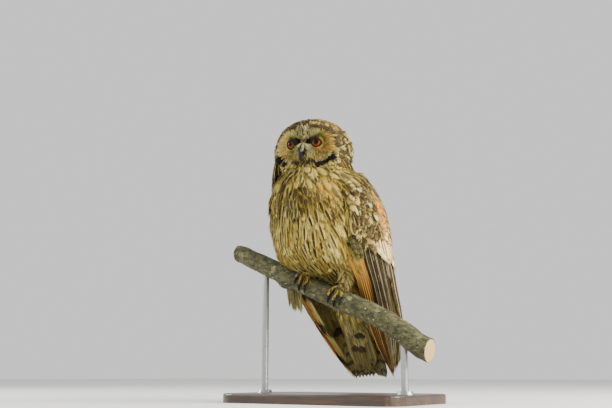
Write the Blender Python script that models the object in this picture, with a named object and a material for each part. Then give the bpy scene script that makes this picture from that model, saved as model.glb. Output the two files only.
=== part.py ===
"""A long-eared owl, life size, as a still display model: the bird grips a cut length of branch,
which two short rods carry on a flat base.

Metres, +Z up. The bird faces -Y and its left side is +X. The origin is the centre of the base's
underside. Angle 0 around the body is the middle of the breast and 180 the middle of the back.
"""

import math
import random

import bmesh
import bpy
from mathutils import Matrix, Vector

MM = 0.001
GAP = 0.3 * MM  # air kept between neighbouring pieces

# Stand
BASE_LENGTH = 0.270
BASE_DEPTH = 0.160
BASE_THICK = 0.012
BASE_CORNER = 0.030
ROD_RADIUS = 0.0045
ROD_FOOT_RADIUS = 0.011
ROD_FOOT_HEIGHT = 0.004
ROD_PLACES = (-0.100, 0.115)
ROD_SOCKET = 0.007

# Perch: height of its centre line at places along X, as the branch slopes down to the bird's left
PERCH_Y = -0.015
PERCH_LINE = (
    (-0.150, 0.2075, 0.0125),
    (-0.118, 0.1940, 0.0130),
    (-0.081, 0.1774, 0.0136),
    (-0.045, 0.1612, 0.0138),
    (-0.015, 0.1477, 0.0138),
    (0.017, 0.1337, 0.0138),
    (0.045, 0.1225, 0.0137),
    (0.070, 0.1120, 0.0136),
    (0.105, 0.0925, 0.0140),
    (0.150, 0.0640, 0.0146),
)
PERCH_RINGS = 17
PERCH_ROUNDNESS = 3  # steps in each quarter of the perch's cross section, less one
KNOT_AT = -0.058
KNOT_RADIUS = 0.0075
KNOT_LENGTH = 0.020
KNOT_SIDES = 10

# Torso: front and back of each cross section in the middle plane, and its half width
TORSO_ROWS = (
    # front y, front z, back y, back z, half width
    (-0.0890, 0.287, 0.001, 0.311, 0.0530),
    (-0.0935, 0.278, 0.018, 0.300, 0.0600),
    (-0.0945, 0.265, 0.038, 0.283, 0.0650),
    (-0.0920, 0.247, 0.054, 0.257, 0.0690),
    (-0.0875, 0.226, 0.062, 0.231, 0.0715),
    (-0.0825, 0.204, 0.066, 0.203, 0.0725),
    (-0.0740, 0.191, 0.070, 0.179, 0.0720), (-0.0590, 0.182, 0.075, 0.158, 0.0680),
    (-0.0350, 0.175, 0.079, 0.142, 0.0600), (-0.0060, 0.165, 0.082, 0.129, 0.0500),
    (0.0190, 0.150, 0.082, 0.119, 0.0390), (0.0400, 0.132, 0.080, 0.114, 0.0290),
)
TORSO_RINGS = 15
TORSO_SIDES = 26
BELLY_CLEAR = 0.011  # from the top of the perch up to the belly
BELLY_BACK = 0.009  # behind this y the body hangs lower than the perch's top

# Neck
NECK_TOP = (-0.0840, 0.2965, 0.0010, 0.3165, 0.0500)  # as a row of the torso

# Head, in its own frame: +X its left, -Y its face, +Z its crown
HEAD_CENTRE = Vector((0.0042, -0.0450, 0.3280))
HEAD_YAW = math.radians(9.5)
HEAD_PITCH = math.radians(13)
HEAD_ROLL = math.radians(2.5)
HEAD_HALF_WIDTH = 0.0512
HEAD_UP = 0.0432
HEAD_DOWN = 0.0365
HEAD_JOWL = 1.1  # how much squarer the lower half of the head is than an ellipse
HEAD_PROFILE = (
    # forward of the centre, share of the half width, from the middle of the face to the nape
    (0.0345, 0.00),
    (0.0342, 0.13),
    (0.0335, 0.27),
    (0.0322, 0.42),
    (0.0312, 0.57),
    (0.0315, 0.70),
    (0.0328, 0.80),
    (0.0312, 0.875),
    (0.0255, 0.935),
    (0.0160, 0.985),
    (0.0030, 1.000),
    (-0.0120, 0.960),
    (-0.0260, 0.850),
    (-0.0375, 0.660),
    (-0.0445, 0.400),
    (-0.0470, 0.00),
)
HEAD_SIDES = 36
HEAD_RINGS = 16
FACE_RISE = 0.0052  # how far the eyes, brows and bill stand above the middle of the head
BROW_RIDGE = 0.0050
BROW_RIDGE_HALF_WIDTH = 0.0050
EYE_RADIUS = 0.0088
EYE_SIDE = 0.0172
EYE_UP = 0.0056 + FACE_RISE
EYE_FORWARD = 0.0283
LID_RING = 0.0086
LID_FORWARD = 0.0062
LID_RADIUS = 0.0015
LID_STEPS = 7
UPPER_LID_TURN = (-100, 100)  # degrees round the eye from its top, over which the lid runs
LOWER_LID_TURN = (125, 235)
UPPER_LID_DROP = 0.0012  # how much nearer the eye's middle the upper lid sits
BILL_LINE = (
    # forward, up, half width, half height of the upper half of the bill
    (0.0300, 0.0010, 0.0038, 0.0040),
    (0.0365, 0.0005, 0.0042, 0.0048),
    (0.0420, -0.0020, 0.0040, 0.0048),
    (0.0465, -0.0070, 0.0032, 0.0040),
    (0.0485, -0.0125, 0.0020, 0.0026),
    (0.0482, -0.0175, 0.0007, 0.0009),
)
LOWER_BILL_LINE = (
    (0.0300, -0.0062, 0.0030, 0.0024),
    (0.0370, -0.0078, 0.0032, 0.0024),
    (0.0410, -0.0105, 0.0026, 0.0019),
    (0.0432, -0.0135, 0.0010, 0.0008),
)
NOSTRIL_SIZES = (0.0013, 0.0016, 0.0010)
NOSTRIL_PLACE = (0.0042, 0.0385, 0.0022)  # to each side, forward and up
EAR_TUFT_VANES = 4
EAR_TUFT_WIDTH = 0.0085
EAR_TUFT_THICK = 0.0007
EAR_TUFT_LIFT = (-0.0012, 0.0026)
EAR_TUFT_START = (6.9, 0.35, 16, 26)  # row, rows added over the tuft, degrees from the crown, and added
EAR_TUFT_END = (9.6, 0.50, 21, 30)

# Tail
TAIL_START = Vector((0.0, 0.0590, 0.1210))
TAIL_TIP = Vector((0.0, 0.1085, 0.0350))
TAIL_FEATHERS = 12
TAIL_FEATHER_WIDTH = 0.024
TAIL_FEATHER_THICK = 0.0007
TAIL_FEATHER_ROOT = 0.024
TAIL_TOP_HEIGHT = 0.0052  # of the middle pair over the tail's middle surface
TAIL_STEP = 0.00105  # how much lower each feather lies than the last
TAIL_SIDES = 16
TAIL_CORE = (
    # share of the length, half width, half depth
    (0.28, 0.0250, 0.0135),
    (0.52, 0.0215, 0.0080),
    (0.72, 0.0165, 0.0042),
)
TAIL_COVERTS = 5
TAIL_COVERT_WIDTH = 0.0135
TAIL_COVERT_SPACING = 0.0085
TAIL_COVERT_ROLL = 0.10

# Feathers
VANE_THICK = 0.0008
FLIGHT_THICK = 0.0009
VANE_ARCH = 0.05  # how far the middle of a vane stands over its edges, as a share of its half width

# Feet
FOOT_PLACES = {"right": -0.030, "left": 0.022}
TOE_RADIUS = 0.0040
TOE_END_RADIUS = 0.0030
TOE_START = 8  # degrees from the perch's top
CLAW_RADIUS = 0.0019
CLAW_TIP_RADIUS = 0.0003
CLAW_TAPER = (1.0, 0.92, 0.76, 0.56, 0.34, 0.12)
CLAW_START = 3.0  # degrees beyond the toe's end
CLAW_TURN = 42
PAD_SIZES = (0.0100, 0.0095, 0.0046)
PAD_HEIGHT = 0.0045
LEG_RADIUS = 0.0085
LEG_TAPER = (0.84, 0.88, 0.95, 1.0)
LEG_FOOT_HEIGHT = 0.0100  # from the top of the perch to the foot of the leg
LEG_BEND = 0.0050  # from there to the first bend, along the perch's own upright
LEG_KNEE = 0.0090

random.seed(7)


def sweep(rows, at):
    """The row at a fractional index, on a smooth curve through all the rows."""
    last = len(rows) - 1
    at = min(max(at, 0.0), float(last))
    i = min(int(at), last - 1)
    t = at - i
    picked = [rows[min(max(k, 0), last)] for k in (i - 1, i, i + 1, i + 2)]
    found = []
    for a, b, c, d in zip(*picked):
        slope_b = (c - a) / 2
        slope_c = (d - b) / 2
        found.append(
            (2 * t**3 - 3 * t**2 + 1) * b
            + (t**3 - 2 * t**2 + t) * slope_b
            + (3 * t**2 - 2 * t**3) * c
            + (t**3 - t**2) * slope_c
        )
    return found


def turned_head():
    """The head's frame in the bird's frame."""
    level = Matrix.Rotation(HEAD_YAW, 4, "Z") @ Matrix.Rotation(HEAD_PITCH, 4, "X")
    turn = level @ Matrix.Rotation(HEAD_ROLL, 4, "Y")
    return Matrix.Translation(HEAD_CENTRE) @ turn


HEAD_FRAME = turned_head()


# Surfaces that the pieces and feathers are set out on

def torso_point(row, angle, out=0.0):
    """A point of the body's surface, at a fractional row and an angle in radians from the breast."""
    front_y, front_z, back_y, back_z, half_width = sweep(TORSO_ROWS, row)
    front = Vector((0.0, front_y, front_z))
    back = Vector((0.0, back_y, back_z))
    across = back - front
    half_depth = across.length / 2
    middle = (front + back) / 2
    along = across.normalized()
    return (
        middle
        - along * (half_depth + out) * math.cos(angle)
        + Vector((1.0, 0.0, 0.0)) * (half_width + out) * math.sin(angle)
    )


def head_point(at, angle, out=0.0):
    """A point of the head, at a fractional profile row and an angle from the crown to the bird's left."""
    forward, share = sweep(HEAD_PROFILE, at)
    share = max(share, 0.0)
    upright, power = (HEAD_UP, 2.0) if math.cos(angle) > 0 else (HEAD_DOWN, 2.0 + HEAD_JOWL * share)
    reach = (
        abs(math.sin(angle) / HEAD_HALF_WIDTH) ** power + abs(math.cos(angle) / upright) ** power
    ) ** (-1 / power)
    side = reach * share * math.sin(angle)
    up = reach * share * math.cos(angle)
    if forward > 0.020:
        ridge = math.exp(-((side / BROW_RIDGE_HALF_WIDTH) ** 2))
        forward += BROW_RIDGE * ridge * math.exp(-(((up - 0.006 - FACE_RISE) / 0.018) ** 2))
        for way in (-1, 1):
            from_eye = math.hypot(side - way * EYE_SIDE, up - EYE_UP)
            forward -= 0.0018 * math.exp(-((from_eye / 0.010) ** 2))
            brow = math.hypot((side - way * 0.017) / 0.016, (up - 0.0215 - FACE_RISE) / 0.006)
            forward += 0.0022 * math.exp(-(brow**2))
    scale = 1 + out / 0.045
    return HEAD_FRAME @ Vector((side * scale, -forward * scale, up * scale))


def sheet(rows):
    """A surface over rows of three points: its front edge, outer line and back edge."""
    flat = [[number for point in row for number in point] for row in rows]

    def point(row, across):
        found = sweep(flat, row)
        front, side, back = (Vector(found[k : k + 3]) for k in (0, 3, 6))
        return (
            front * (1 - across) * (1 - 2 * across)
            + side * 4 * across * (1 - across)
            + back * across * (2 * across - 1)
        )

    return point


def frame_at(surface, p, q, outward):
    """Point, normal and the two directions of a surface at (p, q). outward turns the normal round."""
    step = 0.02
    middle = surface(p, q)
    along = surface(p + step, q) - surface(p - step, q)
    over = surface(p, q + step) - surface(p, q - step)
    normal = along.cross(over).normalized() * outward
    return middle, normal, along, over


# Meshes

def new_mesh(points, faces):
    made = bmesh.new()
    corners = [made.verts.new(point) for point in points]
    for face in faces:
        made.faces.new([corners[k] for k in face])
    bmesh.ops.recalc_face_normals(made, faces=made.faces)
    mesh = bpy.data.meshes.new("shape")
    made.to_mesh(mesh)
    made.free()
    return mesh


def loft(rings):
    """A closed mesh through rings of points, each end closed by a fan."""
    sides = len(rings[0])
    points = [point for ring in rings for point in ring]
    faces = []
    for i in range(len(rings) - 1):
        for k in range(sides):
            a = i * sides + k
            b = i * sides + (k + 1) % sides
            faces.append((a, b, b + sides, a + sides))
    for ring, start in ((rings[0], 0), (rings[-1], (len(rings) - 1) * sides)):
        points.append(sum(ring, Vector()) / sides)
        middle = len(points) - 1
        faces += [(start + k, start + (k + 1) % sides, middle) for k in range(sides)]
    return new_mesh(points, faces)


def vane(surface, outward, start, end, width, lift, roll=0.0, thick=VANE_THICK, flight=False):
    """A feather: a thin, slightly arched blade along a surface from start to end, which are (p, q)
    there. lift is its height over the surface at both ends, and roll lays it on its neighbour."""
    if flight:
        stations = ((0.0, 0.55), (0.36, 1.0), (0.82, 0.86), (1.0, 0.34))
    else:
        stations = ((0.0, 0.62), (0.66, 1.0), (1.0, 0.36))
    points = []
    for t, share in stations:
        p = start[0] + (end[0] - start[0]) * t
        q = start[1] + (end[1] - start[1]) * t
        middle, normal, along, over = frame_at(surface, p, q, outward)
        path = (along * (end[0] - start[0]) + over * (end[1] - start[1])).normalized()
        side = normal.cross(path).normalized()
        lean = side * math.cos(roll) + normal * math.sin(roll)
        up = normal * math.cos(roll) - side * math.sin(roll)
        half = width / 2 * share
        deep = thick * (1 - 0.35 * t)
        centre = middle + normal * (lift[0] + (lift[1] - lift[0]) * t)
        top = [centre - lean * half, centre + up * half * VANE_ARCH, centre + lean * half]
        points += top + [point - up * deep for point in top]
    faces = []
    for i in range(len(stations) - 1):
        a, b = 6 * i, 6 * (i + 1)
        for k in (0, 1):
            faces += [(a + k, a + k + 1, b + k + 1), (a + k, b + k + 1, b + k)]
            faces += [(a + k + 4, a + k + 3, b + k + 4), (b + k + 4, a + k + 3, b + k + 3)]
        faces.append((a, b, b + 3, a + 3))
        faces.append((a + 2, a + 5, b + 5, b + 2))
    last = 6 * (len(stations) - 1)
    for a in (0, last):
        faces += [(a, a + 1, a + 4, a + 3), (a + 1, a + 2, a + 5, a + 4)]
    return new_mesh(points, faces)


def tube(path, radii, resolution=1):
    """A mesh tube along points, with a radius at each, made from a curve."""
    curve = bpy.data.curves.new("tube", "CURVE")
    curve.dimensions = "3D"
    curve.bevel_depth = max(radii)
    curve.bevel_resolution = resolution
    curve.use_fill_caps = True
    spline = curve.splines.new("POLY")
    spline.points.add(len(path) - 1)
    for spot, place, radius in zip(spline.points, path, radii):
        spot.co = (*place, 1.0)
        spot.radius = radius / max(radii)
    guide = bpy.data.objects.new("tube_guide", curve)
    HELPERS.objects.link(guide)
    graph = bpy.context.evaluated_depsgraph_get()
    mesh = bpy.data.meshes.new_from_object(guide.evaluated_get(graph))
    bpy.data.objects.remove(guide)
    made = bmesh.new()
    made.from_mesh(mesh)
    bmesh.ops.remove_doubles(made, verts=made.verts, dist=1e-6)
    bmesh.ops.recalc_face_normals(made, faces=made.faces)
    made.to_mesh(mesh)
    made.free()
    return mesh


def ball(place, sizes, segments=14, rings=8, turn=None):
    """A UV sphere with its three half sizes. turn is a matrix for the directions of its axes."""
    made = bmesh.new()
    bmesh.ops.create_uvsphere(made, u_segments=segments, v_segments=rings, radius=1.0)
    bmesh.ops.scale(made, vec=Vector(sizes), verts=made.verts)
    if turn is not None:
        bmesh.ops.transform(made, matrix=turn.to_4x4(), verts=made.verts)
    bmesh.ops.translate(made, vec=Vector(place), verts=made.verts)
    mesh = bpy.data.meshes.new("ball")
    made.to_mesh(mesh)
    made.free()
    return mesh


def round_bar(bottom, top, low_radius, high_radius, sides=24):
    """A straight or tapered round bar between two points."""
    made = bmesh.new()
    bottom = Vector(bottom)
    axis = Vector(top) - bottom
    bmesh.ops.create_cone(
        made, cap_ends=True, segments=sides, radius1=low_radius, radius2=high_radius, depth=axis.length
    )
    turn = axis.to_track_quat("Z", "Y").to_matrix().to_4x4()
    bmesh.ops.transform(made, matrix=Matrix.Translation(bottom + axis / 2) @ turn, verts=made.verts)
    mesh = bpy.data.meshes.new("bar")
    made.to_mesh(mesh)
    made.free()
    return mesh


def largest_body(mesh):
    """Keeps only the largest closed surface of a mesh, as triangles."""
    made = bmesh.new()
    made.from_mesh(mesh)
    bmesh.ops.triangulate(made, faces=made.faces)
    left = set(made.faces)
    bodies = []
    while left:
        first = left.pop()
        body = {first}
        waiting = [first]
        while waiting:
            face = waiting.pop()
            near = {other for side in face.edges for other in side.link_faces} - body
            body |= near
            waiting += near
        left -= body
        bodies.append(body)

    def volume(body):
        return sum(face.verts[0].co.dot(face.verts[1].co.cross(face.verts[2].co)) for face in body)

    largest = max(bodies, key=volume)
    bmesh.ops.delete(made, geom=[face for face in made.faces if face not in largest], context="FACES")
    made.to_mesh(mesh)
    made.free()
    return mesh


def joined(meshes, cutters=(), solver="MANIFOLD"):
    """One mesh from the Boolean union of closed meshes, less the cutters."""
    base = bpy.data.objects.new("join_base", meshes[0])
    HELPERS.objects.link(base)
    groups = []
    for operation, others in (("UNION", meshes[1:]), ("DIFFERENCE", cutters)):
        if not others:
            continue
        group = bpy.data.collections.new("join_" + operation.lower())
        HELPERS.children.link(group)
        groups.append(group)
        for mesh in others:
            group.objects.link(bpy.data.objects.new("join_piece", mesh))
        step = base.modifiers.new(operation.lower(), "BOOLEAN")
        step.operation = operation
        step.solver = solver
        step.operand_type = "COLLECTION"
        step.collection = group
    bpy.context.view_layer.update()
    graph = bpy.context.evaluated_depsgraph_get()
    mesh = bpy.data.meshes.new_from_object(base.evaluated_get(graph))
    for group in groups:
        for piece in list(group.objects):
            bpy.data.objects.remove(piece)
        bpy.data.collections.remove(group)
    bpy.data.objects.remove(base)
    return largest_body(mesh)


def material(name, hex_colour, roughness, metallic=0.0):
    def linear(part):
        return part / 12.92 if part <= 0.04045 else ((part + 0.055) / 1.055) ** 2.4

    made = bpy.data.materials.new(name)
    made.use_nodes = True
    shader = made.node_tree.nodes["Principled BSDF"]
    parts = [linear(int(hex_colour[k : k + 2], 16) / 255) for k in (0, 2, 4)]
    shader.inputs["Base Color"].default_value = (*parts, 1.0)
    shader.inputs["Roughness"].default_value = roughness
    shader.inputs["Metallic"].default_value = metallic
    return made


def piece(name, mesh, hex_colour, roughness=0.9, metallic=0.0):
    """A finished piece of the model: its mesh, named and coloured, in the model's collection."""
    mesh.name = name
    mesh.materials.clear()
    mesh.materials.append(material(name, hex_colour, roughness, metallic))
    mesh.shade_smooth()
    mesh.set_sharp_from_angle(angle=math.radians(35))
    made = bpy.data.objects.new(name, mesh)
    PIECES.objects.link(made)
    return made


# The perch and the stand

def perch_at(x):
    """Height of the perch's centre line and its radius at a place along X."""
    last = len(PERCH_LINE) - 1
    for i in range(last):
        if x <= PERCH_LINE[i + 1][0] or i == last - 1:
            low, high = PERCH_LINE[i][0], PERCH_LINE[i + 1][0]
            _, height, radius = sweep(PERCH_LINE, i + (x - low) / (high - low))
            return height, radius


def perch_frame(x):
    """Centre, direction across it to its top, and radius of the perch at a place along X."""
    height, radius = perch_at(x)
    ahead, _ = perch_at(x + 0.002)
    behind, _ = perch_at(x - 0.002)
    along = Vector((0.004, 0.0, ahead - behind)).normalized()
    top = Vector((-along.z, 0.0, along.x))
    return Vector((x, PERCH_Y, height)), along, top, radius


def perch_mesh(extra=0.0):
    low, high = PERCH_LINE[0][0], PERCH_LINE[-1][0]
    path = []
    radii = []
    for i in range(PERCH_RINGS):
        x = low + (high - low) * i / (PERCH_RINGS - 1)
        centre, _, _, radius = perch_frame(x)
        path.append(centre)
        radii.append(radius + extra)
    return tube(path, radii, resolution=PERCH_ROUNDNESS)


def make_stand():
    made = bmesh.new()
    bmesh.ops.create_cube(made, size=1.0)
    bmesh.ops.scale(made, vec=(BASE_LENGTH, BASE_DEPTH, BASE_THICK), verts=made.verts)
    bmesh.ops.translate(made, vec=(0, 0, BASE_THICK / 2), verts=made.verts)
    upright = [
        edge for edge in made.edges if abs((edge.verts[0].co - edge.verts[1].co).z) > 0.5 * BASE_THICK
    ]
    bmesh.ops.bevel(made, geom=upright, offset=BASE_CORNER, segments=8, profile=0.5, affect="EDGES")
    rim = [edge for edge in made.edges if all(v.co.z > BASE_THICK * 0.9 for v in edge.verts)]
    bmesh.ops.bevel(made, geom=rim, offset=0.002, segments=2, profile=0.5, affect="EDGES")
    mesh = bpy.data.meshes.new("base")
    made.to_mesh(mesh)
    made.free()
    piece("stand_base", mesh, "2b2320", 0.35)
    sockets = []
    for number, x in enumerate(ROD_PLACES, start=1):
        height, radius = perch_at(x)
        top = height - radius + ROD_SOCKET
        foot = round_bar(
            (x, PERCH_Y, BASE_THICK + GAP),
            (x, PERCH_Y, BASE_THICK + GAP + ROD_FOOT_HEIGHT),
            ROD_FOOT_RADIUS,
            ROD_FOOT_RADIUS * 0.8,
        )
        bar = round_bar(
            (x, PERCH_Y, BASE_THICK + GAP + ROD_FOOT_HEIGHT / 2), (x, PERCH_Y, top), ROD_RADIUS, ROD_RADIUS, 20
        )
        piece(f"stand_rod_{number}", joined([foot, bar]), "8b8d8f", 0.3, 1.0)
        low = (x, PERCH_Y, height - 2 * radius)
        wide = ROD_RADIUS + GAP
        sockets.append(round_bar(low, (x, PERCH_Y, top + GAP), wide, wide, 20))
    return sockets


def make_perch(sockets):
    centre, along, top, radius = perch_frame(KNOT_AT)
    out = (Vector((0, -0.75, 0)) - top).normalized()
    end = centre + out * (radius * 0.55 + KNOT_LENGTH * 0.5)
    knot = round_bar(centre, end, KNOT_RADIUS, KNOT_RADIUS * 0.7, KNOT_SIDES)
    piece("perch", joined([perch_mesh(), knot], sockets), "6b6558", 0.95)


# Feet

def toe_path(x, spread, start, stop, radius_start, radius_end, steps):
    """Points round the perch from one angle to another, forward positive from its top."""
    path = []
    radii = []
    for i in range(steps + 1):
        t = i / steps
        angle = math.radians(start + (stop - start) * t)
        centre, _, top, radius = perch_frame(x + spread * min(1.0, abs(angle)))
        thick = radius_start + (radius_end - radius_start) * t
        out = top * math.cos(angle) + Vector((0, -1, 0)) * math.sin(angle)
        path.append(centre + out * (radius + thick + GAP * 1.3))
        radii.append(thick)
    return path, radii


TOES = (
    # name, sideways spread along the perch at one radian, angle where the toe ends
    ("inner", -0.0075, 86),
    ("middle", 0.0015, 96),
    ("outer", 0.0095, 70),
    ("hind", 0.0020, -72),
)


def make_feet():
    clear = []
    for side, x in FOOT_PLACES.items():
        outward = 1 if side == "left" else -1
        centre, along, top, radius = perch_frame(x)
        turn = Matrix((along, (0, 1, 0), top)).transposed()
        pad = ball(centre + top * (radius + PAD_HEIGHT), PAD_SIZES, 14, 8, turn)
        toes = []
        for name, spread, stop in TOES:
            spread = spread * outward
            way = 1 if stop > 0 else -1
            path, radii = toe_path(x, spread, TOE_START * way, stop, TOE_RADIUS, TOE_END_RADIUS, 5)
            toes.append(tube(path, radii, resolution=1))
            first, last = stop + CLAW_START * way, stop + CLAW_TURN * way
            path, _ = toe_path(x, spread, first, last, CLAW_RADIUS, CLAW_TIP_RADIUS, len(CLAW_TAPER) - 1)
            claw = tube(path, [CLAW_RADIUS * part for part in CLAW_TAPER], resolution=1)
            piece(f"claw_{side}_{name}", claw, "1d1a18", 0.3)
        foot = joined([pad] + toes, [perch_mesh(GAP)])
        piece(f"foot_{side}", foot, "b08d5c", 0.9)
        low = centre + top * (radius + LEG_FOOT_HEIGHT)
        knee = low + top * LEG_KNEE + Vector((0, 0.001, 0.006))
        line = [low, low + top * LEG_BEND, knee, low + Vector((0, 0.004, 0.024))]
        widths = [LEG_RADIUS * share for share in LEG_TAPER]
        leg = tube(line, widths, resolution=3)
        line = [low - top * 0.003] + line[1:3] + [line[3] + Vector((0, 0, GAP * 1.5))]
        clear.append(tube(line, [width + GAP * 1.3 for width in widths], resolution=3))
        piece(f"leg_{side}", leg, "b9955f", 0.95)
    return clear


# Torso and neck

def torso_mesh(extra=0.0):
    """The body, grown by extra all round and as far beyond its top."""
    angles = [2 * math.pi * k / TORSO_SIDES for k in range(TORSO_SIDES)]
    last = len(TORSO_ROWS) - 1
    rings = []
    for i in range(TORSO_RINGS):
        row = last * i / (TORSO_RINGS - 1)
        rings.append([torso_point(row, angle, extra) for angle in angles])
    if extra:
        below = [torso_point(0.4, angle, extra) for angle in angles]
        rings[0] = [point + (point - under).normalized() * extra for point, under in zip(rings[0], below)]
    return loft(rings)


def belly_cutter():
    """The room that the perch and the feet take under the belly."""
    places = [-0.10 + 0.02 * k for k in range(11)]
    front = []
    for x in places:
        height, radius = perch_at(x)
        front.append(Vector((x, -0.2, height + radius / 0.91 + BELLY_CLEAR)))
    front += [Vector((places[-1], -0.2, 0.02)), Vector((places[0], -0.2, 0.02))]
    back = [Vector((point.x, BELLY_BACK, point.z)) for point in front]
    return loft([front, back])


def make_torso(leg_room):
    body = joined([torso_mesh()], [belly_cutter()] + leg_room)
    piece("torso", body, "c2a066", 0.95)


def torso_ring(row):
    """The middle and the points of one cross section, given as a row of TORSO_ROWS."""
    front = Vector((0.0, row[0], row[1]))
    back = Vector((0.0, row[2], row[3]))
    middle = (front + back) / 2
    ring = []
    for k in range(TORSO_SIDES):
        angle = 2 * math.pi * k / TORSO_SIDES
        ring.append(middle + (front - middle) * math.cos(angle) + Vector((row[4] * math.sin(angle), 0, 0)))
    return middle, ring


def make_neck():
    _, low = torso_ring(TORSO_ROWS[0])
    middle, high = torso_ring(NECK_TOP)
    across = high[TORSO_SIDES // 2] - high[0]
    up = Vector((0, -across.z, across.y)).normalized()
    piece("neck", loft([[point + up * GAP for point in low], high]), "b3925c", 0.95)
    return middle, up


# Head

def in_head(side, forward, up):
    return HEAD_FRAME @ Vector((side, -forward, up))


def bill_mesh(rows, extra=0.0, sides=12):
    rings = []
    for i, (forward, low_up, half_width, half_height) in enumerate(rows):
        up = low_up + FACE_RISE
        before = rows[max(i - 1, 0)]
        after = rows[min(i + 1, len(rows) - 1)]
        along = Vector((after[0] - before[0], after[1] - before[1])).normalized()
        ring = []
        for k in range(sides):
            angle = 2 * math.pi * k / sides
            high = (half_height + extra) * math.cos(angle)
            side = (half_width + extra) * math.sin(angle) * (1 - 0.18 * math.cos(angle))
            ring.append(in_head(side, forward - along.y * high, up + along.x * high))
        rings.append(ring)
    return loft(rings)


def lid_mesh(way, upper):
    """A lid: a bent round strip along the upper or lower edge of an eye."""
    first, last = UPPER_LID_TURN if upper else LOWER_LID_TURN
    drop = UPPER_LID_DROP if upper else 0.0
    ring = LID_RING - drop
    path = []
    radii = []
    for i in range(LID_STEPS + 1):
        share = i / LID_STEPS
        angle = math.radians(first + (last - first) * share)
        side = way * EYE_SIDE + ring * math.sin(angle)
        up = EYE_UP + (ring - drop * math.cos(angle)) * math.cos(angle)
        forward = EYE_FORWARD + LID_FORWARD - UPPER_LID_DROP * abs(math.sin(angle))
        path.append(in_head(side, forward, up))
        radii.append(LID_RADIUS * (0.55 + 0.45 * math.sin(math.pi * share)))
    return tube(path, radii, resolution=1)


def ear_tuft_mesh(way):
    """The long feathers over one ear, laid back along the crown."""
    vanes = []
    roll = way * math.radians(12)
    for i in range(EAR_TUFT_VANES):
        share = i / (EAR_TUFT_VANES - 1)
        row, added, turn, more = EAR_TUFT_START
        start = (row + added * share, way * math.radians(turn + more * share))
        row, added, turn, more = EAR_TUFT_END
        end = (row + added * math.sin(math.pi * share), way * math.radians(turn + more * share))
        outward = head_outward(start)
        vanes.append(vane(head_point, outward, start, end, EAR_TUFT_WIDTH, EAR_TUFT_LIFT, roll, EAR_TUFT_THICK))
    return vanes


def head_outward(spot):
    """Which way round head_point's normal has to be turned to point out of the head."""
    middle, normal, _, _ = frame_at(head_point, spot[0], spot[1], 1)
    return 1 if normal.dot(middle - HEAD_CENTRE) > 0 else -1


def make_head(cut_place, cut_up):
    last = len(HEAD_PROFILE) - 1
    rings = []
    for i in range(1, HEAD_RINGS + 1):
        at = last * i / (HEAD_RINGS + 1)
        rings.append([head_point(at, 2 * math.pi * k / HEAD_SIDES) for k in range(HEAD_SIDES)])
    shape = loft(rings)
    made = bmesh.new()
    made.from_mesh(shape)
    everything = made.verts[:] + made.edges[:] + made.faces[:]
    cut = bmesh.ops.bisect_plane(
        made, geom=everything, dist=1e-6, plane_co=cut_place + cut_up * GAP, plane_no=-cut_up, clear_outer=True
    )
    edges = [item for item in cut["geom_cut"] if isinstance(item, bmesh.types.BMEdge)]
    bmesh.ops.edgenet_fill(made, edges=edges)
    bmesh.ops.recalc_face_normals(made, faces=made.faces)
    made.to_mesh(shape)
    made.free()
    adds = [lid_mesh(way, upper) for way in (-1, 1) for upper in (True, False)]
    eyes = {
        side: in_head(way * EYE_SIDE, EYE_FORWARD, EYE_UP) for side, way in (("right", -1), ("left", 1))
    }
    turn = HEAD_FRAME.to_3x3() @ Matrix.Rotation(math.radians(90), 3, "X")
    rooms = [ball(place, [EYE_RADIUS + 1.35 * GAP] * 3, 16, 8, turn) for place in eyes.values()]
    rooms.append(bill_mesh(BILL_LINE, GAP * 1.5))
    rooms.append(bill_mesh(LOWER_BILL_LINE, GAP * 1.5))
    for way in (-1, 1):
        adds += ear_tuft_mesh(way)
    piece("head", joined([shape] + adds, rooms), "b8915a", 0.95)
    for side, place in eyes.items():
        piece(f"eye_{side}", ball(place, [EYE_RADIUS] * 3, 16, 8, turn), "d8701c", 0.05)
    side, forward, up = NOSTRIL_PLACE
    nostrils = [
        ball(in_head(way * side, forward, up + FACE_RISE), NOSTRIL_SIZES, 8, 6) for way in (-1, 1)
    ]
    piece("bill_upper", joined([bill_mesh(BILL_LINE)], nostrils), "2e3136", 0.35)
    lower = joined([bill_mesh(LOWER_BILL_LINE)], [bill_mesh(BILL_LINE, GAP * 1.5)])
    piece("bill_lower", lower, "2e3136", 0.35)


# Tail

TAIL_ALONG = (TAIL_TIP - TAIL_START).normalized()
TAIL_LENGTH = (TAIL_TIP - TAIL_START).length
TAIL_BACK = Vector((0.0, -TAIL_ALONG.z, TAIL_ALONG.y))


def tail_point(along, side):
    """A point of the tail's middle surface: metres from its start and sideways, a little arched."""
    return TAIL_START + TAIL_ALONG * along + Vector((side, 0, 0)) - TAIL_BACK * (side**2 / 0.16)


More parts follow.
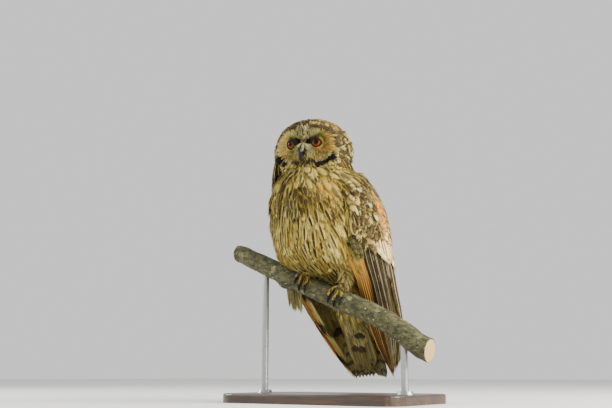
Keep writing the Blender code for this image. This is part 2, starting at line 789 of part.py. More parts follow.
def make_tail():
    turns = [2 * math.pi * k / TAIL_SIDES for k in range(TAIL_SIDES)]
    start = [torso_point(len(TORSO_ROWS) - 1, angle) for angle in turns]
    across = start[TAIL_SIDES // 2] - start[0]
    facing = Vector((0, across.z, -across.y)).normalized()
    facing *= 1 if facing.dot(TAIL_ALONG) > 0 else -1
    rings = [[point + facing * GAP * 1.5 for point in start]]
    for share, wide, deep in TAIL_CORE:
        centre = tail_point(TAIL_LENGTH * share, 0.0)
        ring = [Vector((wide * math.sin(turn), 0, 0)) - TAIL_BACK * deep * math.cos(turn) for turn in turns]
        rings.append([centre + point for point in ring])
    pieces = [loft(rings)]
    for i in range(TAIL_FEATHERS):
        pair = i // 2
        way = 1 if i % 2 else -1
        height = TAIL_TOP_HEIGHT - TAIL_STEP * i
        root = (TAIL_FEATHER_ROOT, way * (0.002 + 0.0024 * pair))
        tip = (TAIL_LENGTH * (1.0 - 0.012 * pair), way * (0.0035 + 0.0036 * pair))
        lift = (height * 0.8, height)
        pieces.append(
            vane(tail_point, TAIL_OUTWARD, root, tip, TAIL_FEATHER_WIDTH, lift, 0.0, TAIL_FEATHER_THICK, True)
        )
    for outward, reach, lift in (
        (TAIL_OUTWARD, 0.70, (0.0060, 0.0072)),
        (-TAIL_OUTWARD, 0.78, (0.0085, 0.0088)),
    ):
        for i in range(TAIL_COVERTS):
            from_middle = i - TAIL_COVERTS // 2
            side = from_middle * TAIL_COVERT_SPACING
            root = (0.012, side * 0.9)
            tip = (TAIL_LENGTH * (reach - 0.05 * abs(from_middle)), side)
            pieces.append(vane(tail_point, outward, root, tip, TAIL_COVERT_WIDTH, lift, TAIL_COVERT_ROLL))
    piece("tail", joined(pieces), "a58a5e", 0.9)


TAIL_OUTWARD = 1 if frame_at(tail_point, 0.04, 0.0, 1)[1].dot(TAIL_BACK) > 0 else -1


# Wings

WING_ROWS = {
    # each row: front edge, outer line, back edge, for a wing on the side of +X
    "left": (
        ((0.0500, -0.0640, 0.284), (0.0615, -0.0300, 0.297), (0.0340, 0.0060, 0.306)),
        ((0.0600, -0.0600, 0.266), (0.0710, -0.0140, 0.276), (0.0320, 0.0390, 0.288)),
        ((0.0640, -0.0575, 0.246), (0.0770, 0.0040, 0.250), (0.0270, 0.0640, 0.260)),
        ((0.0650, -0.0540, 0.222), (0.0800, 0.0120, 0.224), (0.0210, 0.0740, 0.232)),
        ((0.0640, -0.0490, 0.200), (0.0810, 0.0180, 0.200), (0.0160, 0.0785, 0.203)),
        ((0.0610, -0.0350, 0.176), (0.0790, 0.0290, 0.174), (0.0120, 0.0830, 0.174)),
        ((0.0550, -0.0080, 0.152), (0.0730, 0.0470, 0.142), (0.0110, 0.0890, 0.142)),
        ((0.0445, 0.0280, 0.112), (0.0660, 0.0710, 0.108), (0.0130, 0.0920, 0.110)),
        ((0.0360, 0.0620, 0.078), (0.0560, 0.0920, 0.075), (0.0160, 0.1040, 0.078)),
        ((0.0330, 0.0980, 0.040), (0.0400, 0.1060, 0.038), (0.0300, 0.1130, 0.040)),
    ),
    "right": (
        ((0.0500, -0.0640, 0.284), (0.0615, -0.0300, 0.297), (0.0340, 0.0060, 0.306)),
        ((0.0610, -0.0570, 0.266), (0.0710, -0.0120, 0.276), (0.0320, 0.0390, 0.288)),
        ((0.0670, -0.0490, 0.246), (0.0770, 0.0060, 0.250), (0.0270, 0.0640, 0.260)),
        ((0.0710, -0.0360, 0.222), (0.0800, 0.0150, 0.224), (0.0210, 0.0740, 0.232)),
        ((0.0735, -0.0160, 0.200), (0.0810, 0.0230, 0.200), (0.0160, 0.0785, 0.203)),
        ((0.0720, 0.0100, 0.178), (0.0785, 0.0370, 0.176), (0.0120, 0.0830, 0.174)),
        ((0.0625, 0.0270, 0.142), (0.0720, 0.0530, 0.142), (0.0110, 0.0890, 0.142)),
        ((0.0526, 0.0500, 0.108), (0.0650, 0.0750, 0.108), (0.0130, 0.0920, 0.110)),
        ((0.0430, 0.0760, 0.075), (0.0550, 0.0940, 0.075), (0.0160, 0.1040, 0.078)),
        ((0.0340, 0.1060, 0.038), (0.0400, 0.1100, 0.038), (0.0300, 0.1140, 0.040)),
    ),
}
WING_CORE_END = 6.1  # fractional row where the solid base of the wing ends
WING_CORE_DEEP = 0.0120
WING_EDGE_DEEP = 0.0018
WING_CORE_RINGS = 10
WING_CORE_STEPS = 8
WING_JITTER = 0.06
WING_TIERS = (
    # feathers; first row they grow from and rows added over the tier; the same for their tips; first
    # and last column; width and what is added; lift at root and tip; roll in degrees; columns that
    # the tip drifts back; whether it is a flight feather
    (6, (4.25, 0.55), (8.95, -0.8), (0.04, 0.37), (0.0150, 0.001), (-0.0034, 0.0002), 12, 0.05, True),
    (7, (4.9, -0.1), (8.2, -0.3), (0.40, 0.97), (0.0180, 0.0), (-0.0026, 0.0018), 10, 0.0, True),
    (4, (3.8, 0.0), (5.55, 0.25), (0.06, 0.26), (0.0125, 0.0), (-0.0022, 0.0020), 9, 0.0, False),
    (7, (3.55, 0.0), (5.75, -0.1), (0.33, 0.94), (0.0190, 0.0), (-0.0022, 0.0034), 9, 0.0, False),
    (6, (2.3, 0.0), (4.15, 0.0), (0.10, 0.88), (0.0250, 0.0), (-0.0022, 0.0032), 9, 0.0, False),
    (5, (1.0, 0.0), (2.75, 0.0), (0.13, 0.85), (0.0280, 0.0), (-0.0022, 0.0032), 9, 0.0, False),
)


def wing_sheet(side):
    way = 1 if side == "left" else -1
    return sheet([[(way * x, y, z) for x, y, z in row] for row in WING_ROWS[side]])


def wing_outward(surface):
    middle, normal, _, _ = frame_at(surface, 3.0, 0.5, 1)
    return 1 if normal.x * middle.x > 0 else -1


def wing_core(surface, outward):
    """The thick base that the wing's feathers grow from."""
    rows = [WING_CORE_END * i / (WING_CORE_RINGS - 1) for i in range(WING_CORE_RINGS)]
    steps = [k / (WING_CORE_STEPS - 1) for k in range(WING_CORE_STEPS)]
    rings = []
    for row in rows:
        outer = []
        inner = []
        for across in steps:
            point, normal, _, _ = frame_at(surface, row, across, outward)
            ends = math.sin(math.pi * across) ** 0.6 if 0 < across < 1 else 0.0
            fade = min(1.0, (WING_CORE_END - row) / 1.6)
            full = WING_CORE_DEEP * (0.45 + 0.55 * ends) - WING_EDGE_DEEP
            deep = WING_EDGE_DEEP + full * (0.28 + 0.72 * fade)
            outer.append(point)
            inner.append(point - normal * deep)
        rings.append(outer + inner[::-1])
    return loft(rings)


def wing_feathers(surface, outward, way):
    """The wing's tiers of feathers, from the shoulder down to the longest flight feathers."""
    made = []

    for count, starts, ends, columns, widths, lift, roll, drift, flight in WING_TIERS:
        for i in range(count):
            share = i / max(count - 1, 1)
            across = columns[0] + (columns[1] - columns[0]) * share
            jitter = random.uniform(-WING_JITTER, WING_JITTER)
            start = (starts[0] + starts[1] * share, across)
            end = (ends[0] + ends[1] * share + jitter, across + drift)
            width = widths[0] + widths[1] * share
            thick = FLIGHT_THICK if flight else VANE_THICK
            lean = math.radians(roll) * way * outward
            made.append(vane(surface, outward, start, end, width, lift, lean, thick, flight))
    return made


def make_wings():
    for side in ("left", "right"):
        way = 1 if side == "left" else -1
        surface = wing_sheet(side)
        outward = wing_outward(surface)
        core = wing_core(surface, outward)
        feathers = wing_feathers(surface, outward, way)
        mesh = joined([core] + feathers, [torso_mesh(GAP * 1.5), perch_mesh(GAP)])
        piece(f"wing_{side}", mesh, "7c6241", 0.9)


def main():
    sockets = make_stand()
    make_perch(sockets)
    leg_room = make_feet()
    make_torso(leg_room)
    cut_place, cut_up = make_neck()
    make_head(cut_place, cut_up)
    make_tail()
    make_wings()
    bpy.data.collections.remove(HELPERS)


for old in list(bpy.data.objects):
    bpy.data.objects.remove(old)
PIECES = bpy.data.collections.new("long_eared_owl")
HELPERS = bpy.data.collections.new("cutters")
bpy.context.scene.collection.children.link(PIECES)
bpy.context.scene.collection.children.link(HELPERS)
HELPERS.hide_render = True
main()
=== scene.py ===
"""Looks of a life-size long-eared owl, a still display model gripping a cut length of branch on a
plain stand. Metres, +Z up, the bird faces -Y and its left side is +X. Angle 0 round the body is
the middle of the breast. Feathers are thin closed vanes with barbs, set out over one skin."""

import math
from functools import partial

import bmesh
import bpy
import numpy as np
from mathutils import Matrix, Vector, kdtree, noise
from mathutils.bvhtree import BVHTree


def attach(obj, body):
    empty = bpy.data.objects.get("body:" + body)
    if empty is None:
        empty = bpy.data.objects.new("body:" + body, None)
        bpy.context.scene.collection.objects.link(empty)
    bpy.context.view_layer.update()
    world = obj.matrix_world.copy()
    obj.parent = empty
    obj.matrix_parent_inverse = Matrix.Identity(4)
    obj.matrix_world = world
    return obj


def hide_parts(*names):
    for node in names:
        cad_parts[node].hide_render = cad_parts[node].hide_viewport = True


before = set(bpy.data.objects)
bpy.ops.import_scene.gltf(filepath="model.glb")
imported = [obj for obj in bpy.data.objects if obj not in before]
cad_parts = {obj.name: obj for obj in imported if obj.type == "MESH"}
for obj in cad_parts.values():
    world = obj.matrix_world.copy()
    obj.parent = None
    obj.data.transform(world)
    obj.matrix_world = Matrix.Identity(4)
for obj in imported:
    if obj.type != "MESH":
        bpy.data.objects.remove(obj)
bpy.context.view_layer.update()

RNG = np.random.default_rng(11)
MOST_TRIANGLES = 200000  # in one piece of the coat
BAKE_PATCH = 0.003  # side of a feather's patch in its bake map
BODY = "root"
WAY = {"left": 1, "right": -1}

# ---- Sizes shared with the solids ----

PERCH_Y = -0.015
PERCH_LINE = (
    (-0.150, 0.2075, 0.0125), (-0.118, 0.1940, 0.0130), (-0.081, 0.1774, 0.0136),
    (-0.045, 0.1612, 0.0138), (-0.015, 0.1477, 0.0138), (0.017, 0.1337, 0.0138),
    (0.045, 0.1225, 0.0137), (0.070, 0.1120, 0.0136), (0.105, 0.0925, 0.0140),
    (0.150, 0.0640, 0.0146),
)
KNOT_AT = -0.058
TORSO_ROWS = (
    (-0.0620, 0.300, 0.012, 0.332, 0.0300), (-0.0790, 0.296, 0.004, 0.322, 0.0440),
    (-0.0890, 0.287, 0.001, 0.311, 0.0530), (-0.0935, 0.278, 0.018, 0.300, 0.0600),
    (-0.0945, 0.265, 0.038, 0.283, 0.0650), (-0.0920, 0.247, 0.054, 0.257, 0.0690),
    (-0.0875, 0.226, 0.062, 0.231, 0.0715), (-0.0825, 0.204, 0.066, 0.203, 0.0725),
    (-0.0740, 0.191, 0.070, 0.179, 0.0720), (-0.0590, 0.182, 0.075, 0.158, 0.0680),
    (-0.0350, 0.175, 0.079, 0.142, 0.0600), (-0.0060, 0.165, 0.082, 0.129, 0.0500),
    (0.0190, 0.150, 0.082, 0.119, 0.0390), (0.0400, 0.132, 0.080, 0.114, 0.0290),
)
HEAD_CENTRE = Vector((0.0042, -0.0450, 0.3280))
HEAD_YAW = math.radians(9.5)
HEAD_PITCH = math.radians(13)
HEAD_ROLL = math.radians(2.5)
HEAD_HALF_WIDTH = 0.0512
HEAD_UP = 0.0432
HEAD_DOWN = 0.0365
HEAD_JOWL = 1.1
FACE_RISE = 0.0052
HEAD_PROFILE = (
    (0.0345, 0.00), (0.0342, 0.13), (0.0335, 0.27), (0.0322, 0.42), (0.0312, 0.57),
    (0.0315, 0.70), (0.0328, 0.80), (0.0312, 0.875), (0.0255, 0.935), (0.0160, 0.985),
    (0.0030, 1.000), (-0.0120, 0.960), (-0.0260, 0.850), (-0.0375, 0.660), (-0.0445, 0.400),
    (-0.0470, 0.00),
)
BROW_RIDGE = 0.0050
BROW_RIDGE_HALF_WIDTH = 0.0050
EYE_RADIUS = 0.0088
EYE_SIDE = 0.0172
EYE_UP = 0.0056 + FACE_RISE
EYE_FORWARD = 0.0283
EYE_SPLAY = 10  # degrees that each eye looks outward
LID_EDGE = 42.0  # degrees from the gaze to the edge of fully open lids
LID_OVER = 1.050  # inner radius of the lids, as a share of the eye's
BILL_LINE = (
    (0.0300, 0.0010, 0.0038, 0.0040), (0.0365, 0.0005, 0.0042, 0.0048),
    (0.0420, -0.0020, 0.0040, 0.0048), (0.0465, -0.0070, 0.0032, 0.0040),
    (0.0485, -0.0125, 0.0020, 0.0026), (0.0482, -0.0175, 0.0007, 0.0009),
)
LOWER_BILL_LINE = (
    (0.0300, -0.0062, 0.0030, 0.0024), (0.0370, -0.0078, 0.0032, 0.0024),
    (0.0410, -0.0105, 0.0026, 0.0019), (0.0432, -0.0135, 0.0010, 0.0008),
)
TAIL_START = np.array((0.0, 0.0590, 0.1210))
TAIL_TIP = np.array((0.0, 0.1085, 0.0350))
TAIL_LENGTH = float(np.linalg.norm(TAIL_TIP - TAIL_START))
TAIL_ALONG = (TAIL_TIP - TAIL_START) / TAIL_LENGTH
TAIL_BACK = np.array((0.0, -TAIL_ALONG[2], TAIL_ALONG[1]))
TAIL_ROOT = (  # share of the tail's length, half width, half depth of the flesh in it
    (-0.10, 0.026, 0.017), (0.10, 0.0255, 0.0145), (0.28, 0.0235, 0.0115), (0.52, 0.0200, 0.0062),
    (0.72, 0.0150, 0.0030),
)
WING_ROWS = {
    "left": (
        ((0.0500, -0.0640, 0.284), (0.0615, -0.0300, 0.297), (0.0340, 0.0060, 0.306)),
        ((0.0600, -0.0600, 0.266), (0.0710, -0.0140, 0.276), (0.0320, 0.0390, 0.288)),
        ((0.0640, -0.0575, 0.246), (0.0770, 0.0040, 0.250), (0.0270, 0.0640, 0.260)),
        ((0.0650, -0.0540, 0.222), (0.0800, 0.0120, 0.224), (0.0210, 0.0740, 0.232)),
        ((0.0640, -0.0490, 0.200), (0.0810, 0.0180, 0.200), (0.0160, 0.0785, 0.203)),
        ((0.0610, -0.0350, 0.176), (0.0790, 0.0290, 0.174), (0.0120, 0.0830, 0.174)),
        ((0.0550, -0.0080, 0.152), (0.0730, 0.0470, 0.142), (0.0110, 0.0890, 0.142)),
        ((0.0445, 0.0280, 0.112), (0.0660, 0.0710, 0.108), (0.0130, 0.0920, 0.110)),
        ((0.0360, 0.0620, 0.078), (0.0560, 0.0920, 0.075), (0.0160, 0.1040, 0.078)),
        ((0.0330, 0.0980, 0.040), (0.0400, 0.1060, 0.038), (0.0300, 0.1130, 0.040)),
    ),
    "right": (
        ((0.0500, -0.0640, 0.284), (0.0615, -0.0300, 0.297), (0.0340, 0.0060, 0.306)),
        ((0.0610, -0.0570, 0.266), (0.0710, -0.0120, 0.276), (0.0320, 0.0390, 0.288)),
        ((0.0670, -0.0490, 0.246), (0.0770, 0.0060, 0.250), (0.0270, 0.0640, 0.260)),
        ((0.0710, -0.0360, 0.222), (0.0800, 0.0150, 0.224), (0.0210, 0.0740, 0.232)),
        ((0.0735, -0.0160, 0.200), (0.0810, 0.0230, 0.200), (0.0160, 0.0785, 0.203)),
        ((0.0720, 0.0100, 0.178), (0.0785, 0.0370, 0.176), (0.0120, 0.0830, 0.174)),
        ((0.0625, 0.0270, 0.142), (0.0720, 0.0530, 0.142), (0.0110, 0.0890, 0.142)),
        ((0.0526, 0.0500, 0.108), (0.0650, 0.0750, 0.108), (0.0130, 0.0920, 0.110)),
        ((0.0430, 0.0760, 0.075), (0.0550, 0.0940, 0.075), (0.0160, 0.1040, 0.078)),
        ((0.0340, 0.1060, 0.038), (0.0400, 0.1100, 0.038), (0.0300, 0.1140, 0.040)),
    ),
}
WING_CORE_END = 6.1
FOOT_PLACES = {"right": -0.030, "left": 0.022}
TOE_RADIUS = 0.0040
TOE_END_RADIUS = 0.0030
TOES = (
    ("inner", -0.0075, 86), ("middle", 0.0015, 96), ("outer", 0.0095, 70), ("hind", 0.0020, -72)
)
CLAW_TURN = 42
CLAW_RADIUS = 0.0019
EYE_NARROWING = {"left": 0.0, "right": 8.0}  # degrees that the lids close in from the corners
UNDER_BLOTCHES = (  # middle, half breadth, length, way they hang, way they face
    ((-0.0468, 0.0868, 0.1015), 0.0058, 0.0105, (0.10, 0.50, -0.86), (0.55, -0.76, -0.35)),
    ((-0.0020, 0.0742, 0.0755), 0.0125, 0.0105, (-0.10, 0.54, -0.83), (0.05, -0.84, -0.54)),
    ((0.0060, 0.0600, 0.0925), 0.0060, 0.0085, (-0.10, 0.54, -0.83), (0.05, -0.84, -0.54)),
)
FLANK_FEATHERS = 22
NECK_FEATHERS = ((-1, 170), (1, 46))  # side and how many
EAR_FEATHERS = 7  # on each side
LID_FEATHERS = 420  # round each eye
BRISTLES = 1150
TAIL_FEATHERS = 12
TAIL_COVERTS = 14  # above the tail, and as many below
BLOTCH_FEATHERS = 9
LID_DROP = {"left": 20.0, "right": 15.0}  # degrees that the upper lid comes down over the eye
LID_RISE = {"left": 10.0, "right": 4.0}  # degrees that the lower lid comes up
COAT_DEPTH = 0.0052  # how far the skin lies inside the body's solids
BELLY_CLEAR = 0.0075  # from the top of the perch up to the belly's skin

# ---- Colours, as sRGB hex ----

CREAM = "dccb7a"
PALE = "e9e0c4"
BUFF = "bca348"
OCHRE = "ac8834"
DARK = "3a2b1a"
GREY = "8f8a72"
DRAB = "6b5836"


def linear(hex_colour):
    """The linear values of an sRGB hex colour."""
    found = []
    for k in (0, 2, 4):
        value = int(hex_colour[k : k + 2], 16) / 255
        found.append(value / 12.92 if value <= 0.04045 else ((value + 0.055) / 1.055) ** 2.4)
    return np.array(found)


def smooth(low, high, value):
    """0 below low, 1 above high, and a soft step between them."""
    t = np.clip((value - low) / (high - low), 0.0, 1.0)
    return t * t * (3 - 2 * t)


def mixed(first, second, share):
    """Rows of colours part of the way from the first to the second: hex strings or linear rows."""
    first, second = (linear(c) if isinstance(c, str) else c for c in (first, second))
    share = np.asarray(share, float)[..., None]
    return first * (1 - share) + second * share


def unit(rows):
    return rows / np.maximum(np.linalg.norm(rows, axis=-1, keepdims=True), 1e-12)


# ---- Surfaces that the skin and the feathers are set out on ----

def sweep(rows, at):
    """Rows at fractional indices, on a smooth curve through all the rows."""
    rows = np.asarray(rows, float)
    last = len(rows) - 1
    at = np.clip(np.asarray(at, float), 0, last)
    i = np.minimum(at.astype(int), last - 1)
    t = (at - i)[..., None]
    a, b, c, d = (rows[np.clip(i + k, 0, last)] for k in (-1, 0, 1, 2))
    slope_b = (c - a) / 2
    slope_c = (d - b) / 2
    return (
        (2 * t**3 - 3 * t**2 + 1) * b
        + (t**3 - 2 * t**2 + t) * slope_b
        + (3 * t**2 - 2 * t**3) * c
        + (t**3 - t**2) * slope_c
    )


def torso_point(row, angle, out=0.0):
    """Points of the body at fractional rows and angles from the breast."""
    row, angle = np.broadcast_arrays(np.asarray(row, float), np.asarray(angle, float))
    found = sweep(TORSO_ROWS, row)
    zero = np.zeros_like(found[..., 0])
    front = np.stack([zero, found[..., 0], found[..., 1]], -1)
    back = np.stack([zero, found[..., 2], found[..., 3]], -1)
    across = back - front
    half_depth = np.linalg.norm(across, axis=-1) / 2
    along = unit(across)
    side = np.zeros_like(front)
    side[..., 0] = 1.0
    return (
        (front + back) / 2
        - along * ((half_depth + out) * np.cos(angle))[..., None]
        + side * ((found[..., 4] + out) * np.sin(angle))[..., None]
    )


HEAD_TURN = np.array(
    Matrix.Rotation(HEAD_YAW, 3, "Z")
    @ Matrix.Rotation(HEAD_PITCH, 3, "X")
    @ Matrix.Rotation(HEAD_ROLL, 3, "Y")
)
HEAD_AT = np.array(HEAD_CENTRE)


def from_head(points):
    """Points of the head's own frame (its left, back, up) in the bird's frame."""
    return np.asarray(points) @ HEAD_TURN.T + HEAD_AT


def to_head(points):
    return (np.asarray(points) - HEAD_AT) @ HEAD_TURN


def in_head(side, forward, up):
    return from_head(np.stack(np.broadcast_arrays(side, -np.asarray(forward), up), -1))


def head_point(at, angle, out=0.0):
    """Points of the head at fractional profile rows and angles from the crown to its left."""
    at, angle = np.broadcast_arrays(np.asarray(at, float), np.asarray(angle, float))
    found = sweep(HEAD_PROFILE, at)
    forward = found[..., 0]
    share = np.maximum(found[..., 1], 0.0)
    high = np.cos(angle) > 0
    upright = np.where(high, HEAD_UP, HEAD_DOWN)
    power = np.where(high, 2.0, 2.0 + HEAD_JOWL * share)
    reach = (
        np.abs(np.sin(angle) / HEAD_HALF_WIDTH) ** power + np.abs(np.cos(angle) / upright) ** power
    ) ** (-1 / power)
    side = reach * share * np.sin(angle)
    up = reach * share * np.cos(angle)
    front = smooth(0.016, 0.024, forward)
    ridge = np.exp(-((side / BROW_RIDGE_HALF_WIDTH) ** 2))
    raised = BROW_RIDGE * ridge * np.exp(-(((up - 0.006 - FACE_RISE) / 0.018) ** 2))
    for way in (-1, 1):
        from_eye = np.hypot(side - way * EYE_SIDE, up - EYE_UP)
        raised = raised - 0.0018 * np.exp(-((from_eye / 0.010) ** 2))
        brow = np.hypot((side - way * 0.017) / 0.016, (up - 0.0215 - FACE_RISE) / 0.006)
        raised = raised + 0.0022 * np.exp(-(brow**2))
    forward = forward + raised * front
    scale = 1 + out / 0.045
    return in_head(side * scale, forward * scale, up * scale)


def sheet(rows, way):
    """A surface over rows of three points: its front edge, outer line and back edge."""
    flat = [[n for x, y, z in row for n in (way * x, y, z)] for row in rows]

    def point(row, across):
        row, across = np.broadcast_arrays(np.asarray(row, float), np.asarray(across, float))
        found = sweep(flat, row)
        q = across[..., None]
        front, side, back = (found[..., k : k + 3] for k in (0, 3, 6))
        return front * (1 - q) * (1 - 2 * q) + side * 4 * q * (1 - q) + back * q * (2 * q - 1)

    return point


def tail_point(along, side):
    """Points of the tail's middle surface: metres from its start and sideways."""
    along, side = np.broadcast_arrays(np.asarray(along, float), np.asarray(side, float))
    found = TAIL_START + TAIL_ALONG * along[..., None] - TAIL_BACK * (side**2 / 0.16)[..., None]
    return found + np.stack([side, np.zeros_like(side), np.zeros_like(side)], -1)


def frame_at(surface, p, q, outward):
    """Points, outward normals and the two directions of a surface at (p, q)."""
    step = 0.02
    middle = surface(p, q)
    along = surface(p + step, q) - surface(p - step, q)
    over = surface(p, q + step) - surface(p, q - step)
    return middle, unit(np.cross(along, over)) * outward, along, over


def perch_at(x):
    """Height of the perch's centre line and its radius at a place along X."""
    places = [row[0] for row in PERCH_LINE]
    at = float(np.interp(x, places, range(len(places))))
    _, height, radius = sweep(PERCH_LINE, at)
    return height, radius


def perch_frame(x):
    """Centre, direction, direction to its top, and radius of the perch at a place along X."""
    height, radius = perch_at(x)
    rise = (perch_at(x + 0.002)[0] - perch_at(x - 0.002)[0]) / 0.004
    along = unit(np.array((1.0, 0.0, rise)))
    return np.array((x, PERCH_Y, height)), along, np.array((-along[2], 0.0, along[0])), radius


def toe_path(x, spread, start, stop, radius_start, radius_end, steps):
    """Points and radii of a toe round the perch, forward positive from its top."""
    path = []
    radii = []
    for i in range(steps + 1):
        t = i / steps
        angle = math.radians(start + (stop - start) * t)
        centre, _, top, radius = perch_frame(x + spread * min(1.0, abs(angle)))
        thick = radius_start + (radius_end - radius_start) * t
        out = top * math.cos(angle) + np.array((0, -1, 0)) * math.sin(angle)
        path.append(centre + out * (radius + thick + 0.0004))
        radii.append(thick)
    return np.array(path), np.array(radii)


def toe_under_coat(side, spread, stop, steps):
    """Points of a toe from the foot to its claw, and its radii without its small feathers."""
    start = 4 if stop > 0 else -4
    path, radii = toe_path(
        FOOT_PLACES[side], spread * WAY[side], start, stop, TOE_RADIUS, TOE_END_RADIUS, steps
    )
    return path, radii * 0.86


def tail_ring(share, wide, deep, around):
    """A ring round the flesh of the tail, at a share of its length."""
    return (
        tail_point(TAIL_LENGTH * share, 0.0)
        - TAIL_BACK * (deep * np.cos(around))[:, None]
        + np.array((1.0, 0, 0)) * (wide * np.sin(around))[:, None]
    )


# ---- Meshes ----

def mesh_of(name, points, faces, smooth_shading=True):
    """A mesh object from points and faces of any size."""
    mesh = bpy.data.meshes.new(name)
    mesh.from_pydata([tuple(p) for p in points], [], [tuple(f) for f in faces])
    mesh.polygons.foreach_set("use_smooth", [smooth_shading] * len(mesh.polygons))
    mesh.update()
    piece = bpy.data.objects.new(name, mesh)
    bpy.context.scene.collection.objects.link(piece)
    return piece


def outward_faces(piece):
    made = bmesh.new()
    made.from_mesh(piece.data)
    bmesh.ops.recalc_face_normals(made, faces=made.faces)
    made.to_mesh(piece.data)
    made.free()


def loft(name, rings):
    """A closed mesh through rings of the same count, with a fan over each end."""
    count = len(rings[0])
    points = [p for ring in rings for p in ring]
    faces = []
    for i in range(len(rings) - 1):
        for k in range(count):
            a, b = i * count + k, i * count + (k + 1) % count
            faces.append((a, b, b + count, a + count))
    for ring, start in ((rings[0], 0), (rings[-1], (len(rings) - 1) * count)):
        points.append(np.mean(ring, axis=0))
        for k in range(count):
            faces.append((start + k, start + (k + 1) % count, len(points) - 1))
    piece = mesh_of(name, points, faces)
    outward_faces(piece)
    return piece


def tube(name, path, radii, sides=16):
    """A closed round bar along a path of points."""
    path = np.asarray(path, float)
    along = unit(np.gradient(path, axis=0))
    across = unit(np.cross(along[0], (0.31, 0.87, 0.2)))
    rings = []
    for point, way, radius in zip(path, along, radii):
        across = unit(across - way * np.dot(across, way))
        other = np.cross(way, across)
        angles = 2 * math.pi * np.arange(sides) / sides
        round_path = np.cos(angles)[:, None] * across + np.sin(angles)[:, None] * other
        rings.append(point + radius * round_path)
    return loft(name, rings)


def applied(piece):
    """The piece with its modifiers made real."""
    graph = bpy.context.evaluated_depsgraph_get()
    mesh = bpy.data.meshes.new_from_object(piece.evaluated_get(graph))
    old = piece.data
    piece.modifiers.clear()
    piece.data = mesh
    mesh.name = piece.name
    bpy.data.meshes.remove(old)
    return piece


def merged(name, pieces):
    """One object from several."""
    made = bmesh.new()
    for piece in pieces:
        made.from_mesh(piece.data)
        mesh = piece.data
        bpy.data.objects.remove(piece)
        bpy.data.meshes.remove(mesh)
    mesh = bpy.data.meshes.new(name)
    made.to_mesh(mesh)
    made.free()
    piece = bpy.data.objects.new(name, mesh)
    bpy.context.scene.collection.objects.link(piece)
    return piece


# ---- The skin: one closed surface under all the feathers ----

def ring_angles(count):
    return 2 * math.pi * np.arange(count) / count


def leg_line(side):
    """A feathered leg from the foot up into the body, and its radii."""
    centre, _, top, radius = perch_frame(FOOT_PLACES[side])
    low = centre + top * (radius + 0.004)
    path = [
        low,
        low + top * 0.009,
        low + top * 0.016 + np.array((0, 0.002, 0.004)),
        low + np.array((0, 0.008, 0.034)),
        low + np.array((0, 0.016, 0.055)),
    ]
    return path, [0.0062, 0.0078, 0.0100, 0.0150, 0.0200]


def above_perch(points):
    """The points, raised in front of the legs where they would hang into the room over
    the perch."""
    raised = points.copy()
    top = np.array([sum(perch_at(x)) for x in points[:, 0]]) + BELLY_CLEAR
    raised[:, 2] += np.maximum(top - points[:, 2], 0.0) * smooth(0.020, 0.004, points[:, 1])
    return raised


def make_skin():
    parts = []
    angles = ring_angles(64)
    rows = np.linspace(0.0, len(TORSO_ROWS) - 1.0, 46)
    parts.append(
        loft("torso_form", [above_perch(torso_point(row, angles, -COAT_DEPTH)) for row in rows])
    )
    rows = np.linspace(0.25, 14.6, 50)
    parts.append(loft("head_form", [head_point(row, angles, -0.0030) for row in rows]))
    low = torso_point(1.6, angles, -COAT_DEPTH)
    parts.append(
        tube(
            "nape_form",
            [
                low.mean(axis=0) + np.array((0, 0.004, -0.012)),
                HEAD_AT + np.array((0, 0.006, -0.004))
            ],
            [0.044, 0.040], 32
        )
    )
    for side in ("left", "right"):
        way = WAY[side]
        surface = sheet(WING_ROWS[side], way)
        outward = wing_outward(surface)
        rings = []
        steps = np.linspace(0, 1, 14)
        for row in np.linspace(0.25, WING_CORE_END, 22):
            point, normal, _, _ = frame_at(surface, row, steps, outward)
            ends = np.sin(math.pi * steps)
            fade = min(1.0, (WING_CORE_END - row) / 1.6)
            deep = 0.0045 + 0.0085 * (0.25 + 0.75 * ends) * (0.25 + 0.75 * fade)
            top = point - normal * (0.0026 + 0.0016 * (1 - ends))[:, None]
            rings.append(np.concatenate([top, (point - normal * deep[:, None])[::-1]]))
        parts.append(loft("wing_form", rings))
        path, radii = leg_line(side)
        parts.append(tube("leg_form", path, radii, 20))
        for _, spread, stop in TOES:
            toe, radii = toe_under_coat(side, spread, stop, 8)
            parts.append(tube("toe_form", toe, radii, 12))
    rings = [tail_ring(*row, ring_angles(20)) for row in TAIL_ROOT]
    parts.append(loft("tail_form", rings))
    skin = merged("skin", parts)
    remesh = skin.modifiers.new("one surface", "REMESH")
    remesh.mode = "VOXEL"
    remesh.voxel_size = 0.0021
    remesh.use_smooth_shade = True
    relax = skin.modifiers.new("relax", "SMOOTH")
    relax.factor = 0.5
    relax.iterations = 5
    skin = applied(skin)
    made = bmesh.new()
    made.from_mesh(skin.data)
    bmesh.ops.triangulate(made, faces=made.faces)
    keep_largest(made)
    made.to_mesh(skin.data)
    made.free()
    return skin


def keep_largest(made):
    """Leaves only the largest connected surface, so no scrap stays inside."""
    made.faces.ensure_lookup_table()
    seen = set()
    groups = []
    for face in made.faces:
        if face.index in seen:
            continue
        group = [face]
        seen.add(face.index)
        at = 0
        while at < len(group):
            for edge in group[at].edges:
                for other in edge.link_faces:
                    if other.index not in seen:
                        seen.add(other.index)
                        group.append(other)
            at += 1
        groups.append(group)
    groups.sort(key=len)
    spare = [face for group in groups[:-1] for face in group]
    bmesh.ops.delete(made, geom=spare, context="FACES")


def wing_outward(surface):
    middle, normal, _, _ = frame_at(surface, np.array([3.0]), np.array([0.5]), 1)
    return 1 if normal[0, 0] * middle[0, 0] > 0 else -1


# ---- Feathers ----

